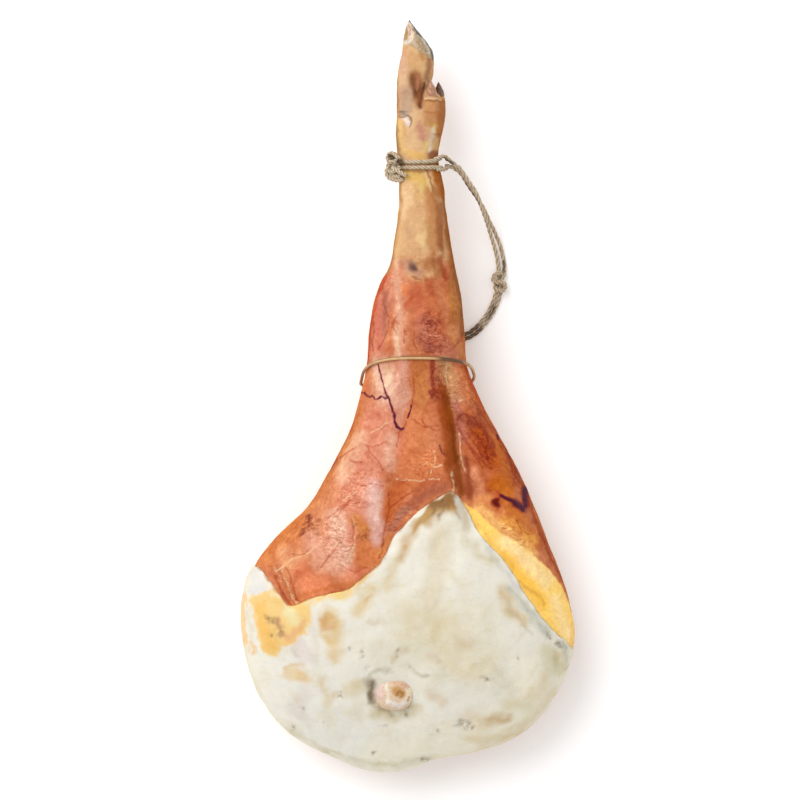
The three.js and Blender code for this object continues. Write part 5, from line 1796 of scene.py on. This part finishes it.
# %% Lard
def lard_material():
    material, tree, shader = new_material(
        "lard", Subsurface_Weight=0.25, Subsurface_Scale=0.004, Subsurface_Radius=(1.0, 0.7, 0.4),
    )
    places, tone = places_and_tone(tree)
    broad = noise(tree, places, 34, 7, 0.6, 0.7)
    fine = noise(tree, places, 190, 6, 0.6)
    smears = noise(tree, stretch(tree, places, (70, 210, 100)), 1.0, 5, 0.6, 1.2)
    colour = shade(tree, tone, broad, (0.48, 0.70), 0.5, (0.90, 0.83, 0.68))
    colour = shade(tree, colour, smears, (0.52, 0.72), 0.3, (0.82, 0.80, 0.76))
    colour = shade(tree, colour, fine, (0.52, 0.75), 0.25, (0.86, 0.82, 0.74))
    drag = between(tree, held(tree, "drag"), 0.2, 0.9, 0.0, 0.3)
    colour = blend(tree, drag, colour, as_seen(196, 186, 160))
    # Darker in the pits
    pit_dark = times(tree, held(tree, "pit_dark"), between(tree, fine, 0.38, 0.56))
    colour = blend(tree, times(tree, pit_dark, 0.6), colour, as_seen(118, 92, 64))
    join(tree, colour, shader.inputs["Base Color"])
    join(tree, between(tree, broad, 0.3, 0.7, 0.42, 0.6), shader.inputs["Roughness"])
    height = sums(tree, "ADD", times(tree, smears, 1.2), fine)
    bump(tree, shader, height, 0.3, 0.8)
    return material


# %% Bone and horn
def bone_material():
    material, tree, shader = new_material("bone", Subsurface_Weight=0.1, Subsurface_Scale=0.002)
    places, tone = places_and_tone(tree)
    fine = noise(tree, places, 420, 6, 0.65, 0.5)
    colour = shade(tree, tone, fine, (0.50, 0.68), 0.6, (0.66, 0.50, 0.40))
    colour = shade(tree, colour, fine, (0.46, 0.32), 0.35, (0.16, 0.13, 0.10), "ADD")
    join(tree, colour, shader.inputs["Base Color"])
    join(tree, between(tree, fine, 0.3, 0.7, 0.34, 0.55), shader.inputs["Roughness"])
    bump(tree, shader, fine, 0.5, 0.8)
    return material


def horn_material():
    material, tree, shader = new_material("horn", Subsurface_Weight=0.06, Subsurface_Scale=0.002)
    places, tone = places_and_tone(tree)
    streaks = noise(tree, stretch(tree, places, (900, 260, 700)), 1.0, 5, 0.6, 0.4)
    specks = noise(tree, places, 520, 4, 0.6)
    colour = shade(tree, tone, streaks, (0.48, 0.64), 0.75, (0.58, 0.46, 0.36))
    colour = shade(tree, colour, specks, (0.55, 0.70), 0.5, (0.55, 0.42, 0.34))
    colour = shade(tree, colour, streaks, (0.44, 0.30), 0.4, (0.14, 0.12, 0.10), "ADD")
    join(tree, colour, shader.inputs["Base Color"])
    join(tree, between(tree, streaks, 0.3, 0.7, 0.34, 0.55), shader.inputs["Roughness"])
    bump(tree, shader, streaks, 0.5, 0.5)
    return material


# %% Rope and cord
def rope_material():
    material, tree, shader = new_material("rope", Roughness=0.9, Specular_IOR_Level=0.2)
    along, strand = held(tree, "along"), held(tree, "strand")
    fibre_axes = {0: times(tree, along, 3.0), 1: times(tree, strand, 14.0)}
    fibre_way = node(tree, "CombineXYZ", fibre_axes)
    fibres = noise(tree, fibre_way.outputs[0], 1.6, 4, 0.6, 0.2)
    places = node(tree, "TexCoord").outputs["Object"]
    stains = noise(tree, places, 120, 4, 0.6)
    groove_shade = held(tree, "groove_shade")
    colour = blend(tree, between(tree, fibres, 0.40, 0.66), as_seen(242, 225, 198), as_seen(160, 130, 94))
    colour = shade(tree, colour, stains, (0.50, 0.66), 0.6, (0.72, 0.60, 0.46))
    colour = shade(tree, colour, stains, (0.44, 0.34), 0.5, (1.05, 0.94, 0.88))
    # The rope's painted shade and its darker patches
    colour = shade(tree, colour, held(tree, "rope_darkening"), (0.1, 0.9), 0.75, as_seen(94, 66, 40), "MIX")
    # Painted shade in the grooves between the strands
    colour = blend(tree, times(tree, groove_shade, 0.95), colour, as_seen(62, 45, 30))
    join(tree, colour, shader.inputs["Base Color"])
    bump(tree, shader, fibres, 0.6, 0.35)
    return material


def cord_material():
    material, tree, shader = new_material("elastic", Roughness=0.42)
    places, tone = places_and_tone(tree)
    worn = noise(tree, places, 160, 4, 0.6)
    colour = shade(tree, tone, worn, (0.45, 0.65), 0.5, (0.72, 0.60, 0.50))
    join(tree, colour, shader.inputs["Base Color"])
    bump(tree, shader, worn, 0.15, 0.3)
    return material


# %% Put the materials on the pieces
finishes = {
    "skin": skin_material(),
    "lard": lard_material(),
    "bone": bone_material(),
    "hoof": horn_material(),
    "rope": rope_material(),
    "cord": cord_material(),
}
for piece, material_slot in dressed_pieces:
    piece.data.materials.append(finishes[material_slot])
print("materials:", sorted(finishes))

# %% [markdown]
# ## Floor and light
# The ham lies on a plain white surface. Broad light from above keeps the shadows faint, and a large
# soft light from the upper left throws the one that shows, to the right.

# %% Floor
FLOOR_SIDE = 12
FLOOR_GLOW = 0.125
FLOOR_COLOUR = (0.925, 0.925, 0.93, 1)
WHITE = (1, 1, 1, 1)

bpy.ops.mesh.primitive_plane_add(size=FLOOR_SIDE, location=(0, 0, 0))
floor = bpy.context.object
floor.name = "floor"
floor_material, tree, shader = new_material(
    "white_surface", Roughness=0.8, Base_Color=FLOOR_COLOUR, Emission_Color=WHITE,
    Emission_Strength=FLOOR_GLOW,
)
floor.data.materials.append(floor_material)
print("floor is", FLOOR_SIDE, "m wide")

# %% Light
SKY_STRENGTH = 0.84
KEY_STRENGTH = 1.75
KEY_FROM = (-0.64, 0.6, 1.0)
KEY_SOFTNESS = 50

world = bpy.data.worlds.new("soft_light")
world.use_nodes = True
background = world.node_tree.nodes["Background"]
background.inputs["Color"].default_value = WHITE
background.inputs["Strength"].default_value = SKY_STRENGTH
scene.world = world
key_data = bpy.data.lights.new("key", "SUN")
key_data.energy = KEY_STRENGTH
key_data.angle = np.radians(KEY_SOFTNESS)
key = bpy.data.objects.new("key", key_data)
key.rotation_euler = Vector(KEY_FROM).to_track_quat("Z", "Y").to_euler()
scene.collection.objects.link(key)
print("light from", KEY_FROM)
